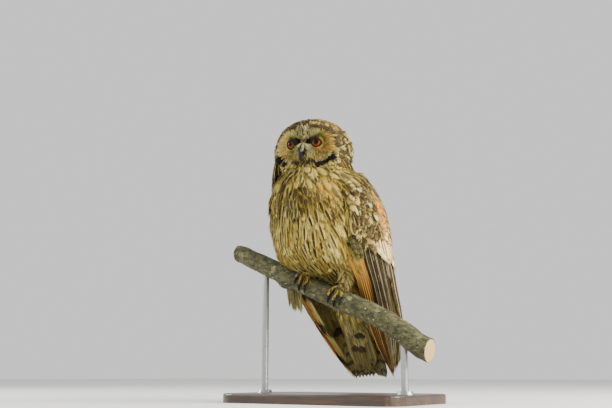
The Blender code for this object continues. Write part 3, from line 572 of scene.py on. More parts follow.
def vane_form(
    profile, columns, thick, shaft=0.0, barbs=0, reach=0.3, forward=0.16, tips=0, seed=1, ragged=0.0
):
    """One feather laid flat: u across in half widths, v along in lengths, h in metres above
    its middle. profile is (v, half width share) pairs; barbs are loose hair-like points at
    the edges."""
    draw = np.random.default_rng(seed)
    columns = np.asarray(columns, float)
    u, v, h, tone = [], [], [], []
    top, low = {}, {}
    last_row, last_col = len(profile) - 1, len(columns) - 1
    for i, (along, share) in enumerate(profile):
        for c, col in enumerate(columns):
            rim = i in (0, last_row) or c in (0, last_col)
            wave = ragged * draw.uniform(-1, 1) if rim and i not in (0,) else 0.0
            droop = 0.06 * (1 - abs(col)) if i == last_row else 0.0
            top[i, c] = len(u)
            u.append(col * share * (1 + wave))
            v.append(along + droop + (wave * 0.25 if i == last_row else 0.0))
            h.append(0.0 if rim else thick / 2 + (shaft if abs(col) < 0.05 else 0.0))
            tone.append(col)
            if rim:
                low[i, c] = top[i, c]
            else:
                low[i, c] = len(u)
                u.append(col * share)
                v.append(along)
                h.append(-thick / 2)
                tone.append(col)
    faces = []
    for i in range(last_row):
        for c in range(last_col):
            for grid, flip in ((top, False), (low, True)):
                a, b, d, e = grid[i, c], grid[i + 1, c], grid[i + 1, c + 1], grid[i, c + 1]
                for face in ((a, b, d), (a, d, e)):
                    faces.append(face[::-1] if flip else face)
    shares = np.array([share for _, share in profile])
    places = np.array([along for along, _ in profile])

    def spike(base_u, base_v, tip_u, tip_v, wide):
        start = len(u)
        ahead = np.array((tip_u - base_u, tip_v - base_v))
        across = np.array((-ahead[1], ahead[0] * 0.25))
        across = across / max(np.abs(across).max(), 1e-9) * wide
        for du, dv, dh in (
            (across[0], across[1] * 0.25, 0.0),
            (-across[0], -across[1] * 0.25, 0.0),
            (0.0, 0.0, -thick * 0.8),
        ):
            u.append(base_u + du)
            v.append(base_v + dv)
            h.append(dh)
        u.append(tip_u)
        v.append(tip_v)
        h.append(draw.uniform(-0.4, 0.8) * thick)
        spot = np.array(
            [[u[start + k], v[start + k], h[start + k] / max(thick, 1e-9)] for k in range(4)]
        )
        side = 1.0 if abs(base_u) < 1e-6 else np.sign(base_u)
        tone.extend([np.clip(base_u, -1, 1)] * 3 + [side * min(1.0, abs(tip_u))])
        # v forward is the path and u the side, so a positive volume in (v, u, h) faces outward
        volume = np.dot(
            np.cross(
                spot[1, [1, 0, 2]] - spot[0, [1, 0, 2]], spot[2, [1, 0, 2]] - spot[0, [1, 0, 2]]
            ),
            spot[3, [1, 0, 2]] - spot[0, [1, 0, 2]]
        )
        quad = ((0, 2, 1), (0, 1, 3), (1, 2, 3), (2, 0, 3))
        for face in quad:
            ordered = face if volume > 0 else face[::-1]
            faces.append(tuple(start + k for k in ordered))

    for k in range(barbs):
        side = 1 if k % 2 else -1
        at = 0.30 + 0.62 * (k // 2 + draw.uniform(0.1, 0.9)) / max(barbs // 2, 1)
        edge = np.interp(at, places, shares)
        base = side * edge * 0.80
        spike(
            base, at, side * (edge + reach * draw.uniform(0.35, 1.0)),
            at + forward * draw.uniform(0.6, 1.25), 0.05 * draw.uniform(0.8, 1.4),
        )
    for k in range(tips):
        across = (k + draw.uniform(0.2, 0.8)) / tips * 2 - 1
        edge = np.interp(0.93, places, shares)
        base = across * edge * 0.85
        spike(base, 0.93 - 0.05 * abs(across), base * (1.0 + 0.6 * draw.uniform(0, 1)),
              1.04 + forward * 0.7 * draw.uniform(0.2, 1.0) * (1 - 0.5 * abs(across)), 0.055)
    return {
        "u": np.array(u), "v": np.array(v), "h": np.array(h), "tone": np.array(tone),
        "faces": np.array(faces),
    }


CONTOUR = [
    vane_form(
        ((0.0, 0.30), (0.30, 0.86), (0.62, 1.0), (0.86, 0.82), (1.0, 0.36)),
        (-1, 0, 1), 0.00035, barbs=16, reach=0.30, forward=0.17, tips=5, seed=20 + k, ragged=0.10,
    )
    for k in range(5)
]
SMALL = [
    vane_form(
        ((0.0, 0.45), (0.45, 1.0), (0.82, 0.85), (1.0, 0.34)),
        (-1, 0, 1), 0.00028, barbs=8, reach=0.45, forward=0.22, tips=3, seed=40 + k, ragged=0.10,
    )
    for k in range(5)
]
STREAKED = [
    vane_form(
        ((0.0, 0.35), (0.20, 0.72), (0.45, 0.95), (0.70, 1.0), (0.88, 0.78), (1.0, 0.30)),
        (-1, -0.4, 0, 0.4, 1), 0.00032, barbs=22, reach=0.45, forward=0.15, tips=5, seed=140 + k,
        ragged=0.10
    ) for k in range(5)
]
LOCK = [
    vane_form(((0.0, 1.0), (0.5, 0.9), (1.0, 0.16)), (-1, 0, 1), 0.00026, seed=60 + k, ragged=0.15)
    for k in range(3)
]
COVERT = [
    vane_form(
        ((0.0, 0.45), (0.25, 0.88), (0.55, 1.0), (0.80, 0.92), (0.93, 0.66), (1.0, 0.30)),
        (-1, -0.55, 0, 0.55, 1), 0.00045, shaft=0.00018, barbs=14, reach=0.14, forward=0.08, tips=4,
        seed=80 + k, ragged=0.04,
    )
    for k in range(5)
]
FLIGHT = [
    vane_form(
        (
            (0.0, 0.40), (0.10, 0.72), (0.22, 0.92), (0.36, 1.0), (0.50, 1.0), (0.64, 0.96),
            (0.77, 0.86), (0.88, 0.70), (0.95, 0.50), (1.0, 0.24)
        ),
        (-1, -0.55, -0.12, 0, 0.12, 0.55, 1), 0.00055, shaft=0.00042, barbs=10, reach=0.07,
        forward=0.03, tips=3, seed=100 + k, ragged=0.025
    ) for k in range(4)
]
NARROW = [
    vane_form(
        (
            (0.0, 0.40), (0.15, 0.85), (0.36, 1.0), (0.62, 0.96), (0.80, 0.80), (0.93, 0.52),
            (1.0, 0.24)
        ),
        (-1, -0.35, 0, 0.35, 1), 0.00050, shaft=0.00040, tips=2, seed=120 + k, ragged=0.0
    ) for k in range(3)
]


COLOURS = ("ground", "edge", "mark")
NUMBERS = {
    "pat": ("width", "streak", "bars", "barred"), "pat2": ("speckle", "shaft", "tone", "tip")
}


class Plumage:
    """Feathers gathered for one piece, with what their material reads."""

    def __init__(self):
        self.points, self.faces, self.vane, self.bake = [], [], [], []
        self.layers = {name: [] for name in (*COLOURS, *NUMBERS)}
        self.count = 0

    def add(self, forms, centre, side, normal, half_width, looks, unwrap, arch=0.05, curve=0.0):
        """centre, side, normal: (feathers, stations, 3). looks: one row for each feather."""
        number, stations = centre.shape[:2]
        if number == 0:
            return
        half_width = np.broadcast_to(half_width, (number,))
        arch = np.broadcast_to(arch, (number,))
        curve = np.broadcast_to(curve, (number,))
        pick = RNG.integers(0, len(forms), number)
        layers = looks.layers()
        for which, form in enumerate(forms):
            chosen = np.nonzero(pick == which)[0]
            if len(chosen) == 0:
                continue
            spot = form["v"] * (stations - 1)
            i = np.clip(spot.astype(int), 0, stations - 2)
            f = (spot - i)[None, :, None]
            c = centre[chosen]
            base = c[:, i] * (1 - f) + c[:, i + 1] * f
            b = side[chosen]
            n = normal[chosen]
            across = unit(b[:, i] * (1 - f) + b[:, i + 1] * f)
            up = unit(n[:, i] * (1 - f) + n[:, i + 1] * f)
            wide = half_width[chosen][:, None]
            u = form["u"][None, :] + curve[chosen][:, None] * form["v"][None, :] ** 2
            lift = form["h"][None, :] + wide * arch[chosen][:, None] * (1 - form["u"][None, :] ** 2)
            points = base + across * (u * wide)[..., None] + up * lift[..., None]
            size = len(form["u"])
            start = self.count + size * np.arange(len(chosen))
            self.points.append(points.reshape(-1, 3))
            self.faces.append((form["faces"][None] + start[:, None, None]).reshape(-1, 3))
            local = np.stack([form["tone"] * 0.5 + 0.5, form["v"]], -1)
            self.vane.append(np.broadcast_to(local[None], (len(chosen), size, 2)).reshape(-1, 2))
            patch = np.stack([form["u"] * 0.5, form["v"] - 0.5], -1) * BAKE_PATCH
            self.bake.append((unwrap[chosen][:, None] + patch[None]).reshape(-1, 2))
            for name, rows in layers.items():
                self.layers[name].append(np.repeat(rows[chosen], size, axis=0))
            self.count += size * len(chosen)

    def make(self, name, material):
        points = np.concatenate(self.points)
        faces = np.concatenate(self.faces)
        mesh = bpy.data.meshes.new(name)
        mesh.vertices.add(len(points))
        mesh.vertices.foreach_set("co", points.astype(np.float32).ravel())
        mesh.loops.add(len(faces) * 3)
        mesh.loops.foreach_set("vertex_index", faces.astype(np.int32).ravel())
        mesh.polygons.add(len(faces))
        mesh.polygons.foreach_set("loop_start", np.arange(0, len(faces) * 3, 3, dtype=np.int32))
        mesh.polygons.foreach_set("use_smooth", np.ones(len(faces), bool))
        mesh.update(calc_edges=True)
        for layer_name, rows in (("OFBake", self.bake), ("vane", self.vane)):
            layer = mesh.uv_layers.new(name=layer_name)
            corner = np.concatenate(rows)[faces.ravel()]
            layer.data.foreach_set("uv", corner.astype(np.float32).ravel())
        for layer_name, rows in self.layers.items():
            layer = mesh.attributes.new(layer_name, "FLOAT_COLOR", "POINT")
            layer.data.foreach_set("color", np.concatenate(rows).astype(np.float32).ravel())
        mesh.materials.append(material)
        mesh.validate()
        piece = bpy.data.objects.new(name, mesh)
        bpy.context.scene.collection.objects.link(piece)
        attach(piece, BODY)
        print(f"{name}: {len(faces)} triangles")
        if len(faces) >= MOST_TRIANGLES:
            raise ValueError(f"{name} has {len(faces)} triangles")


class Looks:
    """What the feathers' material reads, one row for each feather. A colour is a hex string or rows
    of linear values, and a number is one value for all the feathers or a row of them."""

    def __init__(self, number):
        self.number = number
        self.ground = self.edge = "000000"
        self.mark = DARK
        self.width = self.streak = 0.0  # half width and strength of the streak down the shaft
        self.bars = self.barred = 0.0  # number and strength of the cross bars
        self.speckle = self.shaft = self.tone = self.tip = 0.0  # tip is the dark tip's strength

    def put(self, **values):
        vars(self).update(values)

    def layers(self):
        """The attributes of the mesh, each with four columns."""
        made = {}
        for name in COLOURS:
            value = getattr(self, name)
            value = linear(value) if isinstance(value, str) else value
            made[name] = np.ones((self.number, 4))
            made[name][:, :3] = value
        for name, columns in NUMBERS.items():
            made[name] = np.empty((self.number, 4))
            for k, column in enumerate(columns):
                made[name][:, k] = getattr(self, column)
        return made

    def blend(self, share, **colours):
        """Brings the named colours part of the way to others."""
        for name, wanted in colours.items():
            setattr(self, name, mixed(getattr(self, name), wanted, share))

    def part(self, chosen):
        """The looks of some of the feathers."""
        made = Looks(int(chosen.sum()))
        for name in COLOURS + NUMBERS["pat"] + NUMBERS["pat2"]:
            value = getattr(self, name)
            setattr(made, name, value[chosen] if isinstance(value, np.ndarray) else value)
        return made


def leaned(centre, normal, roll):
    """Sides of feathers rolled about their centre lines, and the way they face."""
    along = unit(np.gradient(centre, axis=1))
    side = unit(np.cross(normal, along))
    lean = side * np.cos(roll)[..., None] + normal * np.sin(roll)[..., None]
    return lean, unit(np.cross(along, lean))


def on_sheet(
    surface, outward, start_p, start_q, end_p, end_q, lift0, lift1, stations, roll=0.0, bend=1.0
):
    """Centre lines, sides and normals of feathers laid along a surface."""
    t = np.linspace(0, 1, stations)[None, :]
    start_p, start_q, end_p, end_q, lift0, lift1, roll = (
        np.asarray(value, float).reshape(-1, 1) for value in
        np.broadcast_arrays(start_p, start_q, end_p, end_q, lift0, lift1, roll)
    )
    p = start_p + (end_p - start_p) * t
    q = start_q + (end_q - start_q) * t**bend
    middle, normal, _, _ = frame_at(surface, p, q, outward)
    centre = middle + normal * (lift0 + (lift1 - lift0) * t)[..., None]
    lean, up = leaned(centre, normal, roll)
    return centre, lean, up * np.sign((up * normal).sum(-1, keepdims=True))


def nearest_on(tree, normals, points):
    """The nearest places of the skin to the points, and its smooth normals there."""
    spots = np.zeros_like(points)
    found = np.zeros(len(points), int)
    for i, point in enumerate(points):
        spot, _, index, _ = tree.find_nearest(Vector(point))
        spots[i] = spot
        found[i] = index
    return spots, normals[found]


def on_skin(skin, roots, length, lift0, lift1, stations, roll=0.0, sway=0.0, rise=0.8):
    """Centre lines, sides and normals of feathers that grow from the skin and lie along
    its flow."""
    tree, face_normals, flow = skin
    number = len(roots)
    length = np.broadcast_to(length, (number,))[:, None]
    lift0, lift1, roll, sway = (np.broadcast_to(v, (number,)) for v in (lift0, lift1, roll, sway))
    centre = np.zeros((number, stations, 3))
    normal = np.zeros((number, stations, 3))
    spot, around = nearest_on(tree, face_normals, roots)
    heading = None
    for k in range(stations):
        wanted = flow(spot, around)
        turned = np.cross(around, wanted)
        wanted = wanted * np.cos(sway)[:, None] + turned * np.sin(sway)[:, None]
        heading = wanted if heading is None else unit(heading * 0.6 + wanted * 0.4)
        heading = unit(heading - around * (heading * around).sum(-1, keepdims=True))
        centre[:, k] = spot
        normal[:, k] = around
        if k < stations - 1:
            spot, around = nearest_on(tree, face_normals, spot + heading * length / (stations - 1))
    normal[:, 1:-1] = unit(normal[:, :-2] + normal[:, 1:-1] + normal[:, 2:])
    t = np.linspace(0, 1, stations)[None, :]
    lift = lift0[:, None] + (lift1 - lift0)[:, None] * t**rise
    centre = centre + normal * lift[..., None]
    centre[:, 1:-1] = (centre[:, :-2] + 2 * centre[:, 1:-1] + centre[:, 2:]) / 4
    return (centre, *leaned(centre, normal, roll[:, None]))


# ---- Where each place of the skin belongs ----

FRONT_ANGLE = 1.95  # radians either side of the breast's middle that count as the front
BIB_ROW = 5.2  # torso rows above this one carry the blotched bib
BELLY_ROW = 6.6  # torso rows from this one down carry the belly feathers
ZONES = ("torso", "head", "wing_left", "wing_right", "leg", "toe", "tail")


def zone_samples():
    """Points of every form, with the zone and the two numbers that say where on it."""
    places, zones, first, second = [], [], [], []

    def put(zone, points, p, q):
        count = len(points)
        places.append(points)
        zones.append(np.full(count, ZONES.index(zone)))
        first.append(np.broadcast_to(p, (count,)))
        second.append(np.broadcast_to(q, (count,)))

    angles = np.linspace(-math.pi, math.pi, 121)[:-1]
    for row in np.linspace(0, len(TORSO_ROWS) - 1, 80):
        put("torso", above_perch(torso_point(row, angles, -COAT_DEPTH)), row, angles)
    for at in np.linspace(0.2, 14.9, 80):
        put("head", head_point(at, angles, -0.003), at, angles)
    for side in ("left", "right"):
        way = WAY[side]
        surface = sheet(WING_ROWS[side], way)
        outward = wing_outward(surface)
        across = np.linspace(0, 1, 40)
        for row in np.linspace(0.25, WING_CORE_END, 60):
            point, normal, _, _ = frame_at(surface, row, across, outward)
            put("wing_" + side, point - normal * 0.0030, row, across)
        path, radii = leg_line(side)
        dense = sweep(
            [tuple(p) + (r,) for p, r in zip(path, radii)], np.linspace(0, len(path) - 1, 16)
        )
        for k, row in enumerate(dense):
            ring = np.stack([np.cos(angles[::6]), np.sin(angles[::6]), np.zeros(20)], -1) * row[3]
            put("leg", ring + row[:3], k / 15, angles[::6])
        for _, spread, stop in TOES:
            toe, radii = toe_under_coat(side, spread, stop, 16)
            for k, (point, radius) in enumerate(zip(toe, radii)):
                ring = np.array(
                    [[0.7, 0, 0.7], [-0.7, 0, 0.7], [0.7, -0.7, 0], [-0.7, 0.7, 0], [0, 0, 1.0]]
                )
                put("toe", point + ring * radius, k / 16, 0.0)
    around = np.linspace(-math.pi, math.pi, 25)[:-1]
    for share in np.linspace(0.0, 0.74, 24):
        wide = np.interp(share, (0.0, 0.28, 0.52, 0.74), (0.0255, 0.0235, 0.0200, 0.0150))
        deep = np.interp(share, (0.0, 0.28, 0.52, 0.74), (0.0160, 0.0115, 0.0062, 0.0030))
        put("tail", tail_ring(share, wide, deep, around), share, around)
    return (np.concatenate(rows) for rows in (places, zones, first, second))


def in_zone(zones, *names):
    return np.isin(zones, [ZONES.index(name) for name in names])


def classify(points, table):
    """Zone and place numbers of each point."""
    tree, zones, first, second = table
    found = np.array([tree.find(Vector(point))[1] for point in points])
    return zones[found], first[found], second[found]


def zone_table():
    places, zones, first, second = zone_samples()
    tree = kdtree.KDTree(len(places))
    for i, place in enumerate(places):
        tree.insert(Vector(place), i)
    tree.balance()
    return tree, zones, first, second


def flow_field(points, normals):
    """The way the coat lies: down and back on the body, from each eye outward over the disc, back
    over the crown and down the nape."""
    local = to_head(points)
    side, back, up = local[:, 0], local[:, 1], local[:, 2]
    forward = -back
    body = np.zeros_like(points)
    body[:, 1] = 0.38 + 0.42 * smooth(0.005, 0.060, points[:, 0])
    body[:, 2] = -0.90
    fan = smooth(0.235, 0.290, points[:, 2]) * (points[:, 1] < 0.01)
    body[:, 0] = 11.0 * points[:, 0] * fan
    crown = np.zeros_like(points)
    crown[:, 1] = np.maximum(up / 0.045, -0.1) + 0.40
    crown[:, 2] = -(back / 0.045) - 0.40
    crown[:, 0] = side * 4.0
    way = np.where(side >= 0, 1.0, -1.0)
    disc = np.zeros_like(points)
    disc[:, 0] = side - way * (EYE_SIDE - 0.004)
    disc[:, 2] = up - EYE_UP + 0.002
    disc = unit(disc)
    middle = np.exp(-((side / 0.0075) ** 2))
    rising = np.zeros_like(points)
    rising[:, 0] = way * 0.35
    rising[:, 2] = np.where(up > 0.004, 1.0, -0.9)
    disc = unit(disc * (1 - middle)[:, None] + rising * middle[:, None])
    face = smooth(0.020, 0.027, forward) * (np.hypot(side / 0.047, (up - 0.004) / 0.040) < 1.08)
    on_head = unit(unit(crown) * (1 - face)[:, None] + disc * face[:, None]) @ HEAD_TURN.T
    near_head = smooth(0.292, 0.302, points[:, 2]) * (np.linalg.norm(local, axis=1) < 0.066)
    wanted = unit(body) * (1 - near_head)[:, None] + on_head * near_head[:, None]
    wanted = wanted - normals * (wanted * normals).sum(-1, keepdims=True)
    return unit(wanted)


NEIGHBOURS = [(dx, dy, dz) for dx in (-1, 0, 1) for dy in (-1, 0, 1) for dz in (-1, 0, 1)]


def vertex_rows(mesh, what="co"):
    """The places or the normals of a mesh's vertices."""
    found = np.zeros(len(mesh.vertices) * 3)
    mesh.vertices.foreach_get(what, found)
    return found.reshape(-1, 3)


def corner_rows(mesh):
    return np.array([tuple(polygon.vertices) for polygon in mesh.polygons])


def scatter(skin_mesh, table, spacing_of, keep_of):
    """Roots over the skin, no two nearer than their spacing."""
    verts = vertex_rows(skin_mesh)
    faces = corner_rows(skin_mesh)
    a, b, c = (verts[faces[:, k]] for k in range(3))
    cross = np.cross(b - a, c - a)
    area = np.linalg.norm(cross, axis=1) / 2
    middle = (a + b + c) / 3
    zones, first, second = classify(middle, table)
    spacing = spacing_of(middle, zones, first, second)
    weight = np.where(keep_of(middle, zones, first, second), area / spacing**2, 0.0)
    number = int(weight.sum() * 4.0)
    picked = RNG.choice(len(faces), number, p=weight / weight.sum())
    s, t = RNG.random(number), RNG.random(number)
    over = s + t > 1
    s[over], t[over] = 1 - s[over], 1 - t[over]
    places = a[picked] + (b - a)[picked] * s[:, None] + (c - a)[picked] * t[:, None]
    radius = spacing[picked]
    cell = float(spacing.max()) * 1.001
    grid = {}
    kept = []
    keys = np.floor(places / cell).astype(int)

    def crowded(i):
        for step in NEIGHBOURS:
            for j in grid.get(
                (keys[i][0] + step[0], keys[i][1] + step[1], keys[i][2] + step[2]), ()
            ):
                limit = min(radius[i], radius[j])
                x, y, z = places[i] - places[j]
                if x * x + y * y + z * z < limit * limit:
                    return True
        return False

    for i in range(number):
        if not crowded(i):
            grid.setdefault(tuple(keys[i]), []).append(i)
            kept.append(i)
    kept = np.array(kept)
    return places[kept], zones[picked[kept]], first[picked[kept]], second[picked[kept]]


# ---- Materials ----

def add(tree, kind, inputs=(), **settings):
    """A node with its settings and inputs; an input is a value or another node's output."""
    made = tree.nodes.new(kind)
    for name, value in settings.items():
        setattr(made, name, value)
    for key, value in dict(inputs).items():
        socket = made.inputs[key]
        if isinstance(value, bpy.types.NodeSocket):
            tree.links.new(value, socket)
        else:
            socket.default_value = value
    return made


def new_material(name, roughness, **constants):
    """A material and its tree, with constant values on the shader's own sockets."""
    made = bpy.data.materials.new(name)
    made.use_nodes = True
    sockets = made.node_tree.nodes["Principled BSDF"].inputs
    sockets["Roughness"].default_value = roughness
    for key, value in constants.items():
        sockets[key.replace("_", " ").title().replace("Ior", "IOR")].default_value = value
    return made, made.node_tree


def dressed(made, tint, height=None, distance=0.0, strength=0.0):
    """The material with its colour, and its bumps if it has any, joined to its shader."""
    tree = made.node_tree
    sockets = tree.nodes["Principled BSDF"].inputs
    tree.links.new(tint, sockets["Base Color"])
    if height is not None:
        bump = {"Height": height, "Distance": distance, "Strength": strength}
        tree.links.new(add(tree, "ShaderNodeBump", bump).outputs["Normal"], sockets["Normal"])
    return made


def object_place(tree):
    return add(tree, "ShaderNodeTexCoord").outputs["Object"]


def clouds(tree, place, scale, detail, roughness=0.5):
    """Soft noise with spots about 1 / scale metres wide."""
    inputs = {"Vector": place, "Scale": scale, "Detail": detail, "Roughness": roughness}
    return add(tree, "ShaderNodeTexNoise", inputs).outputs["Fac"]


def maths(tree, operation, first, second=0.0, third=0.0):
    inputs = {0: first, 1: second, 2: third}
    return add(tree, "ShaderNodeMath", inputs, operation=operation).outputs[0]


def times(tree, first, second):
    return maths(tree, "MULTIPLY", first, second)


def scaled(tree, value, factor, offset):
    return maths(tree, "MULTIPLY_ADD", value, factor, offset)


def step_between(tree, value, low, high):
    """A soft step from 0 at low to 1 at high."""
    return add(
        tree, "ShaderNodeMapRange", {"Value": value, "From Min": low, "From Max": high},
        interpolation_type="SMOOTHSTEP",
    ).outputs["Result"]


def mix(tree, share, first, second, blend="MIX"):
    """Two colours mixed: each a hex string or another node's output."""
    made = add(tree, "ShaderNodeMix", (), data_type="RGBA", blend_type=blend)
    for index, value in ((0, share), (6, first), (7, second)):
        if isinstance(value, str):
            value = tuple(linear(value)) + (1.0,)
        if isinstance(value, bpy.types.NodeSocket):
            tree.links.new(value, made.inputs[index])
        else:
            made.inputs[index].default_value = value
    return made.outputs[2]


def plumage_material(name, fleck_mm, barb_count, barb_strength, bump_height):
    """Feather keratin: matt and soft. Reads each feather's own map for the
    streak, bars and barbs and its own attributes for the colours."""
    made, tree = new_material(name, 0.78, specular_ior_level=0.16)
    place = object_place(tree)
    flat = add(tree, "ShaderNodeUVMap", (), uv_map="vane").outputs["UV"]
    across, along, _ = add(tree, "ShaderNodeSeparateXYZ", {0: flat}).outputs
    off = maths(tree, "ABSOLUTE", scaled(tree, across, 2.0, -1.0))
    layer = {
        key: add(tree, "ShaderNodeAttribute", (), attribute_name=key)
        for key in (*COLOURS, *NUMBERS)
    }
    wide, streak, bars = add(
        tree, "ShaderNodeSeparateXYZ", {0: layer["pat"].outputs["Vector"]}
    ).outputs
    bar_strength = layer["pat"].outputs["Alpha"]
    fleck, shaft, tone = add(
        tree, "ShaderNodeSeparateXYZ", {0: layer["pat2"].outputs["Vector"]}
    ).outputs
    dark_tip = layer["pat2"].outputs["Alpha"]
    fine = clouds(tree, place, 1000 / fleck_mm, 2.0)
    broad = clouds(tree, place, 1000 / 7.0, 2.0)
    uneven = maths(tree, "SUBTRACT", fine, 0.5)
    # the dark streak down the shaft, a long drop that widens towards the tip
    drop = times(tree, step_between(tree, along, 0.10, 0.52), step_between(tree, along, 1.10, 0.93))
    reach = times(tree, wide, scaled(tree, drop, 0.75, 0.25))
    shown = scaled(tree, uneven, 0.16, off)
    inside = maths(tree, "SUBTRACT", reach, shown)
    streaked = times(tree, step_between(tree, inside, -0.14, 0.12), times(tree, streak, drop))
    # cross bars, bent back a little towards the edges
    phase = scaled(
        tree, off, -0.06, scaled(tree, uneven, 0.05, along)
    )
    wave = maths(
        tree, "SINE", times(tree, scaled(tree, phase, bars, tone), 2 * math.pi)
    )
    barred = times(tree, step_between(tree, wave, 0.15, 0.55), bar_strength)
    # fine flecks and wavy lines
    worn = step_between(
        tree, scaled(tree, broad, 0.45, times(tree, fine, 0.75)), 0.56, 0.66
    )
    flecked = times(tree, worn, fleck)
    tipped = times(tree, step_between(tree, along, 0.80, 0.97), dark_tip)
    marked = maths(
        tree, "MAXIMUM", maths(tree, "MAXIMUM", streaked, barred),
        maths(tree, "MAXIMUM", flecked, tipped)
    )
    outer = maths(
        tree, "MAXIMUM", step_between(tree, off, 0.35, 0.95), step_between(tree, along, 0.70, 1.0)
    )
    base = mix(
        tree, times(tree, outer, 0.9), layer["ground"].outputs["Color"],
        layer["edge"].outputs["Color"]
    )
    found = mix(tree, marked, base, layer["mark"].outputs["Color"])
    quill = times(tree, step_between(tree, off, 0.10, 0.03), shaft)
    found = mix(tree, quill, found, PALE)
    # barbs: fine lines slanting out from the shaft
    slant = scaled(tree, off, -0.30, along)
    barb = maths(tree, "SINE", times(tree, slant, barb_count * 2 * math.pi))
    shade = scaled(tree, barb, barb_strength, 1.0 - barb_strength)
    chance = scaled(tree, tone, 0.30, 0.86)
    shade = times(tree, times(tree, shade, chance), scaled(tree, broad, 0.3, 0.85))
    grey = add(tree, "ShaderNodeCombineColor", {0: shade, 1: shade, 2: shade}).outputs[0]
    found = mix(tree, 1.0, found, grey, "MULTIPLY")
    return dressed(made, found, barb, bump_height, 0.5)


def skin_material():
    """The down under the feathers: dull and soft, in the ground colours of each zone."""
    made, tree = new_material("down_over_skin", 0.95)
    place = object_place(tree)
    tint = add(tree, "ShaderNodeAttribute", (), attribute_name="tint").outputs["Color"]
    down = clouds(tree, place, 900.0, 3.0)
    dim = mix(tree, step_between(tree, down, 0.35, 0.65), tint, DRAB)
    found = mix(tree, 0.55, dim, tint)
    return dressed(made, found, down, 0.0006, 0.6)


def horn_material(name, base, tip, roughness):
    """Horn of the bill and claws: dark keratin, polished by use, with faint growth lines."""
    made, tree = new_material(name, roughness, specular_ior_level=0.16)
    place = object_place(tree)
    cloud = clouds(tree, place, 420.0, 3.0)
    lines = clouds(tree, place, 1900.0, 1.0)
    found = mix(tree, step_between(tree, cloud, 0.35, 0.70), base, tip)
    return dressed(made, found, lines, 0.00006, 0.5)


def eye_material():
    """A glassy eye: black pupil, orange iris with fine spokes, dark rim. The map gives the share
    of a half turn from the gaze, and the turn round it."""
    made, tree = new_material(
        "glass_eye_orange_iris", 0.22, specular_ior_level=0.12, coat_weight=0.03,
        coat_roughness=0.05
    )
    gaze = add(tree, "ShaderNodeUVMap", (), uv_map="gaze").outputs["UV"]
    turn, away, _ = add(tree, "ShaderNodeSeparateXYZ", {0: gaze}).outputs
    spread = add(
        tree, "ShaderNodeCombineXYZ", {0: times(tree, turn, 90.0), 1: times(tree, away, 7.0)}
    )
    spokes = clouds(tree, spread.outputs[0], 1.0, 3.0)
    iris = mix(tree, step_between(tree, spokes, 0.35, 0.68), "5c2406", "9a4e10")
    inner = step_between(tree, away, 0.100, 0.145)
    iris = mix(tree, inner, "401303", iris)
    outer = step_between(tree, away, 0.195, 0.235)
    iris = mix(tree, outer, iris, "2e1206")
    # the upper lid's shade over the top of the iris
    high = maths(tree, "ABSOLUTE", scaled(tree, turn, 2.0, -1.0))
    shaded = times(tree, step_between(tree, high, 0.62, 0.92), 0.75)
    iris = mix(tree, shaded, iris, "2a1006")
    pupil = step_between(tree, away, 0.102, 0.092)
    found = mix(tree, pupil, iris, "030406")
    white = step_between(tree, away, 0.250, 0.262)
    found = mix(tree, white, found, "17100c")
    return dressed(made, found)


def lid_material():
    """Bare lid skin: thin, dark grey-brown, slightly moist."""
    made, tree = new_material("bare_lid_skin", 0.65, specular_ior_level=0.12)
    place = object_place(tree)
    crease = clouds(tree, place, 2600.0, 2.0)
    found = mix(tree, crease, "0c0906", "1e1710")
    return dressed(made, found, crease, 0.0001, 0.6)


def bark_material():
    """Weathered bark: grey-brown plates, darker cracks, paler worn crests and pale green lichen."""
    made, tree = new_material("weathered_bark", 0.92)
    place = object_place(tree)
    turned = add(
        tree, "ShaderNodeMapping",
        {"Vector": place, "Rotation": (0.0, math.radians(26.0), 0.0), "Scale": (0.45, 1.0, 1.0)}
    ).outputs[0]
    plates = clouds(tree, turned, 210.0, 6.0, 0.65)
    grain = clouds(tree, turned, 900.0, 4.0)
    patches = clouds(tree, place, 62.0, 5.0, 0.7)
    cracks = add(
        tree, "ShaderNodeTexVoronoi", {"Vector": turned, "Scale": 150.0, "Randomness": 1.0},
        feature="DISTANCE_TO_EDGE"
    ).outputs["Distance"]
    bark = mix(tree, step_between(tree, plates, 0.36, 0.66), "302d1b", "5c5a38")
    bark = mix(
        tree, times(tree, step_between(tree, grain, 0.52, 0.70), 0.4), bark, "7e7b54"
    )
    lichen = step_between(tree, patches, 0.58, 0.68)
    bark = mix(tree, times(tree, lichen, 0.6), bark, "7c8352")
    old = clouds(tree, place, 95.0, 3.0)
    bark = mix(tree, times(tree, step_between(tree, old, 0.63, 0.72), 0.5), bark, "a8a878")
    # darker in the cracks: the furrows' own darker bark, and painted shade in them
    cracked = step_between(tree, cracks, 0.05, 0.0)
    bark = mix(tree, times(tree, cracked, 0.6), bark, "221c14")
    height = maths(tree, "ADD", times(tree, plates, 1.0), times(tree, grain, 0.35))
    height = maths(tree, "SUBTRACT", height, times(tree, cracked, 0.5))
    return dressed(made, bark, height, 0.0011, 0.9)


def cut_wood_material():
    """The sawn ends of the branch: pale wood with yearly rings about 1.2 mm apart."""
    made, tree = new_material("sawn_end_grain", 0.8)
    flat = add(tree, "ShaderNodeUVMap", (), uv_map="rings").outputs["UV"]
    across, up, _ = add(tree, "ShaderNodeSeparateXYZ", {0: flat}).outputs
    away = maths(tree, "SQRT", maths(tree, "ADD", times(tree, across, across), times(tree, up, up)))
    rough = clouds(tree, flat, 3.0, 3.0)
    wave = maths(
        tree, "SINE", times(tree, scaled(tree, rough, 0.12, away), 2 * math.pi * 11)
    )
    found = mix(tree, step_between(tree, wave, -0.4, 0.9), "c9ab7a", "9d7c4c")
    found = mix(tree, step_between(tree, away, 0.90, 0.97), found, "4a3c28")
    return dressed(made, found)


